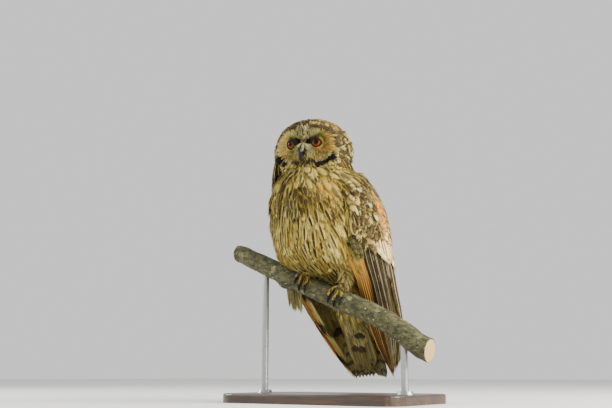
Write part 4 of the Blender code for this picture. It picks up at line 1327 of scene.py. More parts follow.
def stand_wood_material():
    """Dark stained hardwood under satin lacquer, grain along X about 1.5 mm wide."""
    made, tree = new_material("stained_walnut_satin", 0.38, coat_weight=0.3, coat_roughness=0.3)
    place = object_place(tree)
    long = add(tree, "ShaderNodeMapping", {"Vector": place, "Scale": (0.07, 1.0, 1.0)}).outputs[0]
    grain = clouds(tree, long, 330.0, 6.0, 0.6)
    figure = clouds(tree, long, 45.0, 3.0)
    found = mix(tree, step_between(tree, grain, 0.35, 0.68), "2c1b11", "5a3a24")
    found = mix(
        tree, times(tree, step_between(tree, figure, 0.4, 0.65), 0.5), found, "20130c"
    )
    return dressed(made, found, grain, 0.00012, 0.4)


def rod_material():
    """Brushed steel rod: fine rings round the rod left by the abrasive."""
    made, tree = new_material("brushed_steel", 0.34, metallic=1.0)
    place = object_place(tree)
    fine = add(tree, "ShaderNodeMapping", {"Vector": place, "Scale": (0.12, 0.12, 1.0)}).outputs[0]
    lines = clouds(tree, fine, 3200.0, 2.0)
    found = mix(tree, lines, "8f9092", "bcbdbe")
    worn = scaled(tree, lines, 0.22, 0.24)
    tree.links.new(worn, tree.nodes["Principled BSDF"].inputs["Roughness"])
    return dressed(made, found)


def pale_material(name, hex_colour):
    made, tree = new_material(name, 0.9)
    place = object_place(tree)
    cloud = clouds(tree, place, 3.0, 1.0)
    found = mix(tree, times(tree, cloud, 0.08), hex_colour, "ffffff")
    return dressed(made, found)


# ---- The look of each zone's feathers ----

def chance(number, low=0.0, high=1.0):
    return RNG.uniform(low, high, number)


def body_looks(points, row, angle, streaked=False):
    """Ochre and cream in long soft strips, bold blotches on the bib, streaks below and a
    mottled back."""
    number = len(points)
    draw = partial(chance, number)
    looks = Looks(number)
    turn = np.abs(angle)
    strips = (
        np.array([noise.noise(Vector((a * 5.5, r * 0.35, 2.0))) for a, r in zip(angle, row)]) * 0.5
        + 0.5
    )
    patchy = np.array([noise.noise(Vector(p) * 42.0) for p in points]) * 0.5 + 0.5
    creamy = smooth(0.42, 0.66, 0.62 * strips + 0.38 * patchy + draw(-0.07, 0.07))
    plain = smooth(0.40, 0.85, angle) * smooth(6.0, 8.0, row) * smooth(2.0, 1.6, angle)
    ground = mixed(BUFF, OCHRE, patchy)
    ground = mixed(ground, CREAM, creamy * (1 - 0.7 * plain) * (1 - 0.45 * smooth(4.6, 3.4, row)))
    ground = mixed(ground, "b58c38", plain * 0.6)
    ground = ground * (1 - 0.12 * smooth(5.6, 4.4, row))[:, None]
    # darker from the belly downward: painted shade under the body
    looks.ground = ground * (1 - 0.30 * smooth(6.8, 9.6, row))[:, None]
    orange = np.exp(-(((angle - 0.62) / 0.22) ** 2) - (((row - 2.9) / 0.7) ** 2))
    looks.blend(orange, ground="c4963c")
    looks.edge = mixed(looks.ground, CREAM, draw(0.0, 0.22))
    bib = smooth(5.6, 4.4, row)
    cluster = np.exp(-(((angle - 0.10) / 0.28) ** 2) - (((row - 3.7) / 0.7) ** 2))
    cluster = np.maximum(
        cluster, np.exp(-(((angle + 1.0) / 0.25) ** 2) - (((row - 4.3) / 0.7) ** 2))
    )
    blotched = draw() < 0.72 * bib + 0.20 * (1 - bib) + 0.5 * cluster
    looks.put(
        width=np.where(bib > 0.5, draw(0.5, 0.95), draw(0.2, 0.34)),
        streak=np.where(blotched, draw(0.8, 1.0), 0.0) * (1 - 0.5 * plain) * (1 - orange)
    )
    if streaked:
        looks.put(
            width=draw(0.36, 0.52) + 0.26 * bib + 0.25 * cluster,
            streak=draw(0.92, 1.0) * (1 - orange) * (1 - 0.35 * plain)
        )
    looks.put(
        mark=mixed("34290f", "1c160a", draw()), bars=draw(3.0, 4.5),
        barred=np.where(draw() < 0.3, 0.08, 0.0), speckle=0.06, tone=draw()
    )
    vent = smooth(11.0, 12.2, row)
    looks.blend(vent * 0.7, ground=CREAM)
    looks.width *= 1 - 0.5 * vent
    back = smooth(1.7, 2.2, turn) * smooth(12.5, 11.5, row)
    mottled = mixed(BUFF, GREY, draw(0.1, 0.8))
    looks.blend(back, ground=mottled)
    looks.blend(back * 0.4, edge=PALE)
    looks.width = np.where(back > 0.5, draw(0.25, 0.5), looks.width)
    looks.streak = np.where(back > 0.5, draw(0.7, 1.0), looks.streak)
    looks.speckle = np.where(back > 0.5, draw(0.5, 0.9), looks.speckle)
    return looks


def line_distance(side, up, path):
    """How far each place lies from a bent line over the face."""
    found = np.full(len(side), 1.0)
    for (side_0, up_0), (side_1, up_1) in zip(path, path[1:]):
        d_side, d_up = side_1 - side_0, up_1 - up_0
        t = np.clip(((side - side_0) * d_side + (up - up_0) * d_up) / (d_side**2 + d_up**2), 0, 1)
        found = np.minimum(found, np.hypot(side - side_0 - t * d_side, up - up_0 - t * d_up))
    return found


BROW_BAND = ((0.0010, 0.0140), (0.0050, 0.0190), (0.0140, 0.0250), (0.0200, 0.0268))
CHIN_BAND = ((0.0010, -0.0165), (0.0140, -0.0150))


def face_tint(local):
    """Colours and flecking over the face, in the head's own frame (its left, back, up)."""
    side, up = local[:, 0], local[:, 2]
    s = np.abs(side)
    number = len(s)
    from_eye = np.hypot(s - EYE_SIDE, up - EYE_UP)
    # olive over the disc, darker close to each eye and above it: painted shade round the eye
    tint = mixed(
        "786a2c", "b99f4a", smooth(0.010, 0.026, from_eye + 0.25 * np.maximum(EYE_UP - up, 0))
    )
    tint = mixed(tint, "bd8c48", smooth(0.026, 0.036, s) * smooth(-0.012, 0.004, up) * 0.5)
    # the bird's right disc painted lighter: painted light falling on that side
    tint = mixed(tint, "dcc070", smooth(-0.019, -0.027, side) * 0.7)
    fleck = np.full(number, 0.04)
    # a rusty patch below each eye, and brown mottling under it
    rust = (
        smooth(0.0036, 0.0012, np.abs(up - 0.0012)) * smooth(0.016, 0.020, s)
        * smooth(0.037, 0.031, s)
    )
    tint = mixed(tint, "ab7a3e", rust * np.where(side > 0, 0.65, 0.15))
    mottled = smooth(-0.0004, -0.0030, up) * smooth(0.012, 0.017, s) * smooth(0.036, 0.031, s)
    tint = mixed(tint, "ab9655", mottled)
    fleck = np.maximum(fleck, mottled * 0.85)
    # the olive-brown skin side of the bill and the pale whiskers over it
    below = smooth(-0.005, -0.008, up) * smooth(0.016, 0.011, s)
    tint = mixed(tint, "8f8148", below)
    fleck = np.maximum(fleck, below * 0.35)
    pale = smooth(1.2, 0.85, np.hypot((s - 0.0075) / 0.0085, (up + 0.0004) / 0.0052))
    # pale olive brows, from over the bill up to the top of each disc
    brow = smooth(
        1.15, 0.75, line_distance(s, up, BROW_BAND) / (0.0020 + 0.0026 * smooth(0.004, 0.017, s))
    )
    tint = mixed(tint, "a9a26a", brow * 0.9)
    pale = np.maximum(pale, brow * 0.4)
    tint = mixed(tint, "a39b68", smooth(0.4, 0.9, pale))
    fleck = fleck * (1 - 0.9 * pale)
    # the fine dark and cream mottling of the forehead between the brows
    forehead = forehead_share(s, up)
    clump = (
        np.array([noise.noise(Vector((a * 460, b * 520, 7.0))) for a, b in zip(side, up)])
        + chance(number, -0.50, 0.50)
    )
    salted = mixed("d9cc90", "9a8850", chance(number, 0.0, 0.7))
    salted = mixed(salted, "33291a", (clump > 0.07) * 0.85)
    tint = mixed(tint, salted, forehead)
    fleck = fleck * (1 - forehead) + 0.65 * forehead
    # dark on the bill's side of each eye, and over it a painted shade of the upper lid; only a thin
    # rim elsewhere
    dark = smooth(1.15, 0.85, np.hypot((s - 0.0100) / 0.0058, (up - EYE_UP - 0.0026) / 0.0058))
    dark = np.maximum(dark, smooth(0.0082, 0.0072, from_eye))
    dark = np.maximum(dark, smooth(0.0100, 0.0086, from_eye) * smooth(0.000, 0.003, up - EYE_UP))
    tint = mixed(tint, "211a12", dark)
    fleck = fleck * (1 - dark)
    # dark chin, where the whiskers end
    chin = smooth(0.0062, 0.0038, line_distance(s, up, CHIN_BAND))
    tint = mixed(tint, "1b150b", chin)
    return tint, fleck, dark


def forehead_share(s, up):
    """1 on the mottled wedge of the forehead between the brows, 0 off it."""
    return (
        smooth(0.0105, 0.0135, up)
        * smooth(0.0012, -0.0012, s - 0.0012 - 0.60 * np.maximum(up - 0.011, 0))
    )


def rim_share(local):
    """How far out over the disc each place is: 1 at its rim."""
    side, up = local[:, 0], local[:, 2]
    low = up < 0.006
    return np.hypot(side / 0.0455, (up - 0.006) / np.where(low, 0.0270, 0.0310))


def head_looks(points):
    local = to_head(points)
    side, back, up = local[:, 0], local[:, 1], local[:, 2]
    number = len(points)
    draw = partial(chance, number)
    looks = Looks(number)
    tint, fleck, dark = face_tint(local)
    share = rim_share(local)
    on_face = smooth(0.016, 0.021, -back) * smooth(1.02, 0.98, share)
    turn = np.degrees(np.arctan2(np.abs(side), up - 0.006))
    # thin dark dotted rim, cream inside it low on the disc, black marks at its lower corners
    rim = (
        smooth(0.95, 0.98, share) * smooth(1.07, 1.03, share) * smooth(0.010, 0.016, -back)
        * smooth(30, 40, turn)
    )
    rim = rim * np.where(draw() < 0.75, 1.0, 0.15)
    cream_rim = smooth(0.84, 0.88, share) * smooth(0.97, 0.94, share) * smooth(0.000, -0.008, up)
    cream_rim = cream_rim * smooth(0.013, 0.018, np.abs(side))
    tint = mixed(tint, "e4dca6", cream_rim * 0.85)
    fleck = fleck * (1 - 0.7 * cream_rim)
    crown = mixed("c4b168", "8f7540", draw(0.0, 1.0))
    outline = np.hypot(side / HEAD_HALF_WIDTH, up / HEAD_UP)
    rusty = smooth(0.004, 0.010, side) * smooth(0.76, 0.84, outline) * smooth(0.022, 0.030, up)
    rusty = rusty * smooth(0.020, 0.010, back) * smooth(-0.024, -0.016, back)
    crown = mixed(crown, "a06a24", rusty * draw(0.45, 1.0))
    # paler buff nape: its own colour, made lighter as painted light from behind
    nape = smooth(0.0, 0.02, back) + smooth(0.0, -0.02, up) * (1 - on_face)
    crown = mixed(crown, "dcc876", np.clip(nape, 0, 1) * draw(0.45, 1.0) * (1 - rusty))
    ground = mixed(crown, tint, on_face)
    black = smooth(0.90, 0.95, share) * smooth(1.15, 1.08, share)
    last_turn = np.where(side > 0, 149.0, 132.0)
    black = (
        black * smooth(102, 108, turn) * smooth(5, -5, turn - last_turn)
        * smooth(0.004, 0.012, -back)
    )
    ground = mixed(ground, "33271a", rim * 0.9)
    ground = mixed(ground, "14110c", black)
    looks.ground = ground
    edge = mixed("d6c478", ground, np.clip(on_face + rim, 0, 1) * 0.85 + 0.10)
    edge = mixed(edge, "ab7a30", rusty * 0.8)
    # round the eyes the edges keep the ground's dark, the painted shade of the upper lid included
    looks.put(
        edge=mixed(edge, ground, np.clip(black + dark * on_face, 0, 1)),
        mark=mixed("2e2414", "5f4522", on_face * smooth(-0.002, -0.01, up))
    )
    off_face = 1 - np.clip(on_face + rim + black, 0, 1)
    patchy = np.array([noise.noise(Vector(p) * 170.0) for p in points])
    dappled = (
        off_face * (patchy + draw(-0.22, 0.22) > -0.04 - 0.14 * smooth(0.018, 0.026, up))
        * (1 - 0.65 * rusty)
    )
    looks.blend(dappled * 0.8, ground="4e3a1a", edge="46341a")
    # the throat under the chin is buff, as the bib below it is
    throat = smooth(-0.0150, -0.0185, up) * smooth(0.000, -0.012, back) * (1 - black)
    buff = mixed("b09a48", "c9b362", draw())
    looks.blend(throat, ground=buff)
    looks.blend(throat * 0.9, edge=buff)
    chin = throat * smooth(-0.0215, -0.0190, up) * smooth(0.017, 0.014, np.abs(side))
    looks.blend(chin, ground="231b0f", edge="231b0f")
    looks.put(
        width=draw(0.45, 0.85), streak=dappled * draw(0.8, 1.0),
        speckle=np.where(on_face > 0.5, fleck, off_face * draw(0.1, 0.5)),
        tone=draw()
    )
    return looks, on_face, share


def wing_looks(p, q, kind, way):
    """Mottled cream, grey and dark brown shoulders, a rufous outer edge, pale and dark striped
    flight feathers with bars."""
    number = len(p)
    draw = partial(chance, number)
    looks = Looks(number)
    q_near, p_near = q + draw(-0.035, 0.035), p + draw(-0.22, 0.22)
    outer = (
        smooth(0.26, 0.34, q_near) * smooth(0.66, 0.54, q_near) * smooth(0.8, 1.3, p_near)
        * smooth(3.9, 3.4, p_near)
    )
    outer = outer * (1.0 if way > 0 else 0.45) * (1 - 0.55 * smooth(0.44, 0.54, q_near))
    ground = mixed("cfb565", "84703a", draw())
    ground = mixed(ground, "d98f38", outer * draw(0.7, 1.0))
    ground = mixed(ground, "8f7c58", smooth(0.60, 0.80, q) * draw(0.3, 0.9))
    looks.edge = mixed("dfc67c", ground, draw(0.0, 0.8))
    looks.blend(outer * 0.8, edge="dd9b46")
    # pale cream feathers on the rufous edge: their own pale colour, lightened as painted sunlight
    # on that edge
    fade = outer * smooth(2.1, 2.9, p_near) * (draw() < 0.6) * draw(0.5, 1.0)
    ground = mixed(ground, "eccf92", fade)
    looks.blend(fade, edge="efd59c")
    looks.put(
        ground=ground, mark=mixed("1e1708", "3a2c14", draw()),
        width=draw(0.55, 1.0),
        streak=np.where(draw() < 0.8, draw(0.85, 1.0), 0.2) * (1 - 0.7 * outer),
        bars=draw(2.5, 4.0),
        barred=np.where(draw() < 0.6, 0.75, 0.0) * (1 - outer),
        speckle=draw(0.2, 0.6) * (1 - 0.75 * outer), tone=draw()
    )
    # on the far wing the front coverts are painted pale cream, as painted light over the shade they
    # lie in
    front = (
        smooth(0.15, 0.09, q) * smooth(3.8, 3.2, p) if kind == "cover" and way < 0
        else np.zeros(number)
    )
    looks.blend(front * 0.8, ground=CREAM, edge=BUFF)
    looks.streak *= 1 - 0.75 * front
    looks.barred *= 1 - front
    looks.speckle *= 1 - 0.8 * front
    if kind == "greater":
        band = smooth(0.15, 0.22, q) * smooth(0.66, 0.52, q_near)
        looks.ground = mixed(ground, "f4dfa4", band * 0.95)
        brown = (draw() < 0.20 + 0.30 * smooth(0.36, 0.44, q)) * draw(0.5, 1.0)
        looks.blend(band, edge="f4dfa4")
        looks.blend(band * brown, edge="b06c2c")
        looks.blend(band, mark="8a4f22")
        looks.width = np.where(band > 0.5, draw(0.14, 0.40), looks.width)
        streaky = np.where(draw() < 0.6, 0.95, 0.1)
        looks.streak = np.where(band > 0.5, streaky, looks.streak)
        looks.speckle *= 1 - 0.7 * band
        looks.barred *= 1 - band
        slate = smooth(0.09, 0.05, q)
        looks.blend(slate, ground="7a6c38", edge="a28d4a")
        looks.barred = np.maximum(looks.barred, slate * 0.6)
        looks.bars = np.where(slate > 0.5, 7.0, looks.bars)
    if kind == "slate":
        looks.put(
            ground=mixed("67633a", "434126", draw()),
            edge=mixed("837c48", "3d3a20", draw()), width=0.5, streak=0.35,
            bars=draw(3.0, 4.0), barred=0.75, speckle=0.55
        )
    if kind == "white_spots":
        looks.put(ground="c6c69c", edge="a5a274", width=0.16, streak=0.3, barred=0.0, speckle=0.1)
    if kind == "flight":
        warm = smooth(0.090, 0.065, q) if way > 0 else smooth(0.30, 0.22, q)
        far = smooth(0.40, 0.50, q) * smooth(0.68, 0.58, q)
        dusky = mixed("2e2612", "4a3e20", draw())
        looks.ground = mixed(dusky, "c08c3c", warm)
        looks.blend(far * 0.8, ground="b8893f")
        thin = mixed("3d3319", "a08c50", (draw() < 0.55) * draw(0.5, 1.0))
        looks.edge = mixed(thin, "d39a4c", warm)
        looks.blend(far, edge="e0b468")
        looks.put(
            mark="2a1c0c", width=0.3 + 0.14 * warm, streak=0.6 + 0.35 * warm,
            bars=draw(6.0, 8.0), barred=0.6 * (1 - warm), speckle=0.3 * (1 - warm),
            shaft=np.where(draw() < 0.5, 0.45, 0.0) * (1 - warm), tip=0.75 * warm
        )
        if way < 0:
            looks.put(
                tip=0.0, ground=mixed("8d8148", "c98f48", warm),
                edge=mixed("9a8d50", "dba45c", warm), mark="4a3c1c", streak=0.0,
                bars=draw(3.0, 3.4), barred=0.45, speckle=0.08, shaft=0.0
            )
    if kind == "under":
        # the far wing's longest feathers, seen from below: an orange outer web, a pale shaft
        # and an olive inner web with broad dark bars
        first = smooth(0.07, 0.11, q)
        looks.put(
            ground=mixed("ad9f5e", "dda652", first), edge=mixed("bcae6a", "ecbf72", first),
            mark="3e3218", streak=0.0, bars=draw(3.2, 3.5), barred=0.95, speckle=0.1,
            shaft=0.5, tone=0.2 + 0.1 * draw()
        )
    return looks


# ---- The bird ----

def skin_kit(skin):
    """What feathers need to lie on the skin: a search tree, smooth normals and the coat's flow."""
    mesh = skin.data
    tree = BVHTree.FromPolygons(
        [v.co for v in mesh.vertices], [tuple(f.vertices) for f in mesh.polygons]
    )
    return tree, unit(vertex_rows(mesh, "normal")[corner_rows(mesh)].mean(axis=1)), flow_field


def spacing_of(points, zones, first, second):
    """How far apart feathers root: closest on the face and toes."""
    local = to_head(points)
    face = in_zone(zones, "head") & (local[:, 1] < -0.018) & (rim_share(local) < 1.0)
    spacing = np.full(len(points), 0.0050)
    spacing[in_zone(zones, "torso") & (first < 5.4)] = 0.0040
    spacing[in_zone(zones, "head")] = 0.0028
    spacing[face] = 0.00130
    spacing[in_zone(zones, "leg")] = 0.0027
    spacing[in_zone(zones, "toe")] = 0.0019
    return spacing


def streak_spacing(points, zones, first, second):
    """The long streaked feathers over the others stand about a centimetre apart."""
    return np.where(first < 5.0, 0.0074, 0.0096)


def streak_keep(points, zones, first, second):
    front = in_zone(zones, "torso") & (np.abs(second) < 2.0)
    hidden = (first > 7.0) & (first < 12.0) & (second > 0.90)
    return front & (first > 3.0) & (first < 12.0) & ~hidden


def keep_of(points, zones, first, second):
    """Places that carry skin feathers: not under the wings' own tiers, nor round the eyes
    and bill."""
    wing = in_zone(zones, "wing_left", "wing_right")
    local = to_head(points)
    s, up = np.abs(local[:, 0]), local[:, 2]
    front = local[:, 1] < -0.018
    eye = front & (np.hypot(s - EYE_SIDE, up - EYE_UP) < 0.0074)
    bill = front & (s < 0.0042) & (up < FACE_RISE + 0.004) & (up > FACE_RISE - 0.012)
    hidden = (
        in_zone(zones, "torso") & (first > 6.5) & (first < 11.5) & (second > 1.14) & (second < 2.6)
    )
    return ~wing & ~eye & ~bill & ~hidden


def unwrap_round(angle, along):
    return np.stack([np.asarray(angle) / (2 * math.pi) + 0.5, np.asarray(along)], -1)


def unwrap_polar(local):
    """The head laid flat about its face."""
    way = unit(local)
    away = np.arccos(np.clip(-way[:, 1], -1, 1)) / math.pi * 0.5
    turn = np.arctan2(way[:, 0], way[:, 2])
    return np.stack([0.5 + away * np.sin(turn), 0.5 + away * np.cos(turn)], -1)


def grow_on_skin(skin, kit, table, body_matter, face_matter):
    points, zones, first, second = scatter(skin.data, table, spacing_of, keep_of)
    torso = in_zone(zones, "torso")
    head = in_zone(zones, "head")
    tail = in_zone(zones, "tail")
    foot = in_zone(zones, "leg", "toe")

    def cover(name, chosen):
        p, row, angle = points[chosen], first[chosen], second[chosen]
        number = len(p)
        looks = body_looks(p, row, angle)
        short = 1 - 0.06 * smooth(6.0, 4.8, row) - 0.25 * smooth(2.5, 1.0, row)
        length = chance(number, 0.023, 0.030) * short
        length = np.where(np.abs(angle) > 1.9, length * 0.9, length)
        tip = COAT_DEPTH + chance(number, -0.0020, 0.0003)
        low = smooth(9.0, 12.0, row)
        tip = tip - 0.0015 * low
        found = on_skin(
            kit, p, length, 0.0003, tip, 5, RNG.normal(0, 0.08, number), RNG.normal(0, 0.10, number)
        )
        wide = (
            chance(number, 0.0036, 0.0050) * (1 - 0.15 * low) * (1 - 0.14 * smooth(5.6, 4.6, row))
        )
        coat = Plumage()
        for forms, part in ((STREAKED, row < BIB_ROW), (CONTOUR, row >= BIB_ROW)):
            place = unwrap_round(angle[part], row[part] / 13.0)
            bend = chance(int(part.sum()), -0.25, 0.25)
            coat.add(
                forms, *(values[part] for values in found), wide[part], looks.part(part), place,
                0.06, bend
            )
        coat.make(name, body_matter)

    front = torso & (np.abs(second) < FRONT_ANGLE)
    cover("breast_feathers", front & (first < BELLY_ROW))
    cover("belly_feathers", front & (first >= BELLY_ROW))
    cover("mantle_feathers", torso & ~front)

    # long dark-streaked feathers that lie over the others on the breast and belly
    p, _, row, angle = scatter(skin.data, table, streak_spacing, streak_keep)
    number = len(p)
    looks = body_looks(p, row, angle, True)
    length = chance(number, 0.026, 0.034) * (1 - 0.35 * smooth(5.4, 4.0, row))
    found = on_skin(
        kit, p, length, 0.0008, COAT_DEPTH + chance(number, -0.0002, 0.0008), 6,
        RNG.normal(0, 0.06, number), RNG.normal(0, 0.07, number), 0.40
    )
    coat = Plumage()
    coat.add(
        STREAKED, *found, chance(number, 0.0033, 0.0042) * (1 - 0.2 * smooth(6.0, 4.8, row)), looks,
        unwrap_round(angle, row / 13.0), 0.08, chance(number, -0.2, 0.2)
    )
    coat.make("streaked_feathers", body_matter)

    # head: fine close filaments on the disc, small vanes on the crown, ruff and nape
    p = points[head]
    local = to_head(p)
    eye_near = np.hypot(np.abs(local[:, 0]) - EYE_SIDE, local[:, 2] - EYE_UP)
    shown = 0.62 * np.interp(eye_near, (0.007, 0.012, 0.03), (0.0045, 0.0065, 0.0105))
    shown = shown * (1 - 0.55 * forehead_share(np.abs(local[:, 0]), local[:, 2]))
    looks, on_face, share = head_looks(on_skin(kit, p, shown, 0.003, 0.003, 3)[0][:, -1])
    disc = on_face > 0.5
    coat = Plumage()
    number = int(disc.sum())
    part = looks.part(disc)
    length = shown[disc] / 0.62 * chance(number, 0.8, 1.2)
    found = on_skin(
        kit, p[disc], length, 0.0003, 0.0016 + chance(number, -0.0005, 0.0009), 4,
        RNG.normal(0, 0.25, number), RNG.normal(0, 0.10, number),
    )
    coat.add(
        LOCK, *found, chance(number, 0.0006, 0.0010), part, unwrap_polar(local[disc]), 0.2,
        chance(number, -1, 1)
    )
    coat.make("face_feathers", face_matter)

    rest = ~disc
    coat = Plumage()
    number = int(rest.sum())
    part = looks.part(rest)
    away = local[rest]
    back = smooth(-0.01, 0.03, away[:, 1])
    low = smooth(0.0, -0.02, away[:, 2])
    length = (
        0.0088 + 0.0070 * back + 0.0060 * low * smooth(-0.016, 0.000, away[:, 1])
        + chance(number, -0.0015, 0.0020)
    )
    length = np.where(share[rest] < 1.12, length * 0.80, length)
    lift = 0.0032 + 0.0012 * back + chance(number, -0.0008, 0.0012)
    found = on_skin(
        kit, p[rest], length, 0.0003, lift, 4, RNG.normal(0, 0.16, number),
        RNG.normal(0, 0.14, number)
    )
    wide = 0.0020 + 0.0014 * back + 0.0009 * low + chance(number, -0.0003, 0.0005)
    coat.add(SMALL, *found, wide, part, unwrap_polar(away), 0.12, chance(number, -0.4, 0.4))
    coat.make("crown_and_ruff_feathers", body_matter)

    # legs and toes
    p = points[foot]
    number = len(p)
    looks = Looks(number)
    looks.put(
        ground=mixed("98874c", "736438", chance(number)),
        edge=mixed("a89860", "857440", chance(number)), speckle=0.25, tone=chance(number)
    )
    toe = in_zone(zones[foot], "toe")
    looks.blend(toe * 0.85, ground="3d3620", edge="564a2a")
    length = np.where(toe, 0.0046, 0.0100) * chance(number, 0.8, 1.2)
    found = on_skin(
        kit, p, length, 0.0002, np.where(toe, 0.0011, 0.0030), 4, RNG.normal(0, 0.2, number),
        RNG.normal(0, 0.2, number)
    )
    coat = Plumage()
    coat.add(
        SMALL, *found, np.where(toe, 0.0009, 0.0019), looks,
        unwrap_round(second[foot], first[foot]), 0.15, chance(number, -0.4, 0.4)
    )
    coat.make("leg_feathers_coat", body_matter)

    # tail coverts, above and below
    p = points[tail]
    number = len(p)
    looks = Looks(number)
    above = np.abs(second[tail]) > 1.7
    looks.put(
        ground=np.where(
            above[:, None], mixed("a58a58", "7d6a42", chance(number)),
            mixed("8a7e48", "a89c62", chance(number))
        ),
        edge=np.where(above[:, None], linear("c3ab76"), linear("a4985e")),
        width=chance(number, 0.08, 0.18), streak=np.where(chance(number) < 0.6, 0.9, 0.0), bars=3.0,
        barred=np.where(above, 0.5, 0.0), speckle=np.where(above, 0.6, 0.08), tone=chance(number)
    )
    length = chance(number, 0.024, 0.032)
    found = on_skin(
        kit, p, length, 0.0003, chance(number, 0.0020, 0.0036), 5, RNG.normal(0, 0.1, number),
        RNG.normal(0, 0.08, number)
    )
    coat = Plumage()
    coat.add(
        CONTOUR, *found, chance(number, 0.0042, 0.0056), looks,
        unwrap_round(second[tail], first[tail]), 0.1, chance(number, -0.2, 0.2)
    )
    coat.make("tail_coverts", body_matter)


def flank_tuft(matter):
    """Long pale streaked feathers of the right flank, hanging down behind the branch."""
    number = FLANK_FEATHERS
    draw = partial(chance, number)
    angle = np.radians(draw(-102, -80))
    start = torso_point(draw(8.4, 9.2), angle, 0.0015)
    fall = unit(
        np.stack([draw(0.02, 0.12), draw(0.0, 0.16), np.full(number, -1.0)], -1)
    )
    t = np.linspace(0, 1, 6)[None, :, None]
    centre = start[:, None] + fall[:, None] * draw(0.040, 0.050)[:, None, None] * t
    out = unit(np.stack([np.sin(angle), -np.cos(angle), 0.0 * angle], -1))
    up = np.broadcast_to(out[:, None], centre.shape)
    along = unit(np.gradient(centre, axis=1))
    side = unit(np.cross(up, along))
    looks = Looks(number)
    looks.put(
        ground=mixed("e2d89e", "c4b574", draw()),
        edge=mixed("ddd196", "c0b06c", draw()), mark="4a3d20",
        width=draw(0.2, 0.4), streak=np.where(draw() < 0.5, 0.9, 0.0),
        tone=draw()
    )
    coat = Plumage()
    coat.add(
        STREAKED, centre, side, unit(np.cross(along, side)), 0.0036, looks,
        unwrap_round(angle, np.full(number, 0.68)), 0.08
    )
    coat.make("flank_tuft", matter)


def dark_blotches(matter):
    """Dark-tipped feathers that show as a few round blotches under the tail and the far wing."""
    coat = Plumage()
    for middle, spread, reach, fall, out in UNDER_BLOTCHES:
        number = BLOTCH_FEATHERS
        fall, out = unit(np.array(fall)), unit(np.array(out))
        across = unit(np.cross(fall, out))
        share = np.linspace(-1, 1, number)
        start = np.array(middle) + across * (share * spread)[:, None] + out * 0.0012
        start = (
            start - fall * (reach * 0.25 * chance(number))[:, None]
            + fall * (reach * 0.35 * share**2)[:, None]
        )
        t = np.linspace(0, 1, 5)[None, :, None]
        long = (reach * (1 - 0.35 * share**2) * chance(number, 0.85, 1.1))[:, None, None]
        centre = start[:, None] + fall * long * t + out * 0.0004 * t
        side = np.broadcast_to(across, centre.shape)
        looks = Looks(number)
        looks.put(
            ground=mixed("453b24", "30281a", chance(number)),
            edge=mixed("6a5c36", "4a4028", chance(number)), tone=chance(number)
        )
        bake = np.stack([0.5 + 4 * centre[:, 0, 0], 4 * centre[:, 0, 2]], -1)
        coat.add(SMALL, centre, side, np.broadcast_to(out, centre.shape), 0.0026, looks, bake, 0.1)
    coat.make("under_tail_blotches", matter)


def neck_curtain(matter):
    """Loose ruff feathers that hang from the head's lower sides over the shoulders, so that
    the head runs into the body without a neck."""
    coat = Plumage()
    for way, number in NECK_FEATHERS:
        share = chance(number)
        at = 7.0 + 2.6 * share if way < 0 else 10.6 + 0.9 * share
        low = chance(number, 94, 116) if way < 0 else chance(number, 104, 124)
        start = head_point(at, way * np.radians(low), -0.0028)
        turn = 44 + 42 * share if way < 0 else 104 + 20 * share
        turn = turn + chance(number, -5, 5)
        row = chance(number, 1.5, 3.1) if way < 0 else chance(number, 1.7, 2.5)
        stop = torso_point(row, way * np.radians(turn), -0.0004)
        t = np.linspace(0, 1, 7)[None, :, None]
        out = np.stack(
            [way * np.sin(np.radians(turn)), -np.cos(np.radians(turn)), np.full(number, 0.1)], -1
        )
        out = unit(out)
        part = chance(number, 0.70, 1.0)[:, None, None]
        centre = start[:, None] + (stop - start)[:, None] * t * part
        swell = np.minimum(t / 0.2, 1.0) * 0.0024 * (way < 0)
        centre = centre + out[:, None] * swell * np.sin(math.pi * np.minimum(t * part, 1.0)) ** 0.5
        along = unit(np.gradient(centre, axis=1))
        side = unit(np.cross(np.broadcast_to(out[:, None], centre.shape), along))
        up = unit(np.cross(along, side))
        up = up * np.sign((up * out[:, None]).sum(-1, keepdims=True))
        looks = Looks(number)
        looks.put(
            ground=mixed("d2bf72", "a18740", chance(number)),
            edge=mixed("dccb84", "a8924e", chance(number))
        )
        dark = (chance(number) < (0.55 if way < 0 else 0.30)) * 0.9
        looks.blend(dark, ground="1d170c", edge="3a2f18")
        looks.put(
            mark="241b0c", width=chance(number, 0.45, 0.9),
            streak=np.where(chance(number) < 0.6, 0.95, 0.0), bars=chance(number, 2.0, 3.0),
            barred=np.where(chance(number) < 0.3, 0.5, 0.0), tone=chance(number)
        )
        coat.add(
            CONTOUR, centre, side, up, chance(number, 0.0026, 0.0038), looks,
            unwrap_polar(to_head(start)), 0.12
        )
    coat.make("neck_feathers", matter)


def ear_tufts(matter):
    """The long ear feathers, laid flat back over the brows."""
    coat = Plumage()
    for way in (-1, 1):
        number = EAR_FEATHERS
        share = np.linspace(0, 1, number)
        start_at = 5.75 + 0.45 * share
        start_turn = way * np.radians(14 + 8 * chance(number))
        longer = 1.0 if way > 0 else 0.6
        end_at = start_at + (0.55 + chance(number, -0.15, 0.25)) * longer
        end_turn = start_turn + way * np.radians(17 + chance(number, -3, 5)) * longer
        surface = head_point
        middle, normal, _, _ = frame_at(surface, start_at, start_turn, 1)
        outward = 1 if ((middle - HEAD_AT) * normal).sum() > 0 else -1
        found = on_sheet(
            surface, outward, start_at, start_turn, end_at, end_turn, -0.0010,
            chance(number, 0.0000, 0.0008), 5, way * 0.10
        )
        looks = Looks(number)
        looks.put(
            ground=mixed("4a3722", "2a1f15", chance(number)),
            edge=mixed("8f6f42", "4a3a24", chance(number)), width=0.6, streak=0.9, speckle=0.4,
            tone=chance(number)
        )
        coat.add(
            CONTOUR, *found, chance(number, 0.0013, 0.0019), looks,
            unwrap_polar(to_head(found[0][:, 0])), 0.1
        )
    coat.make("ear_tufts_laid_flat", matter)


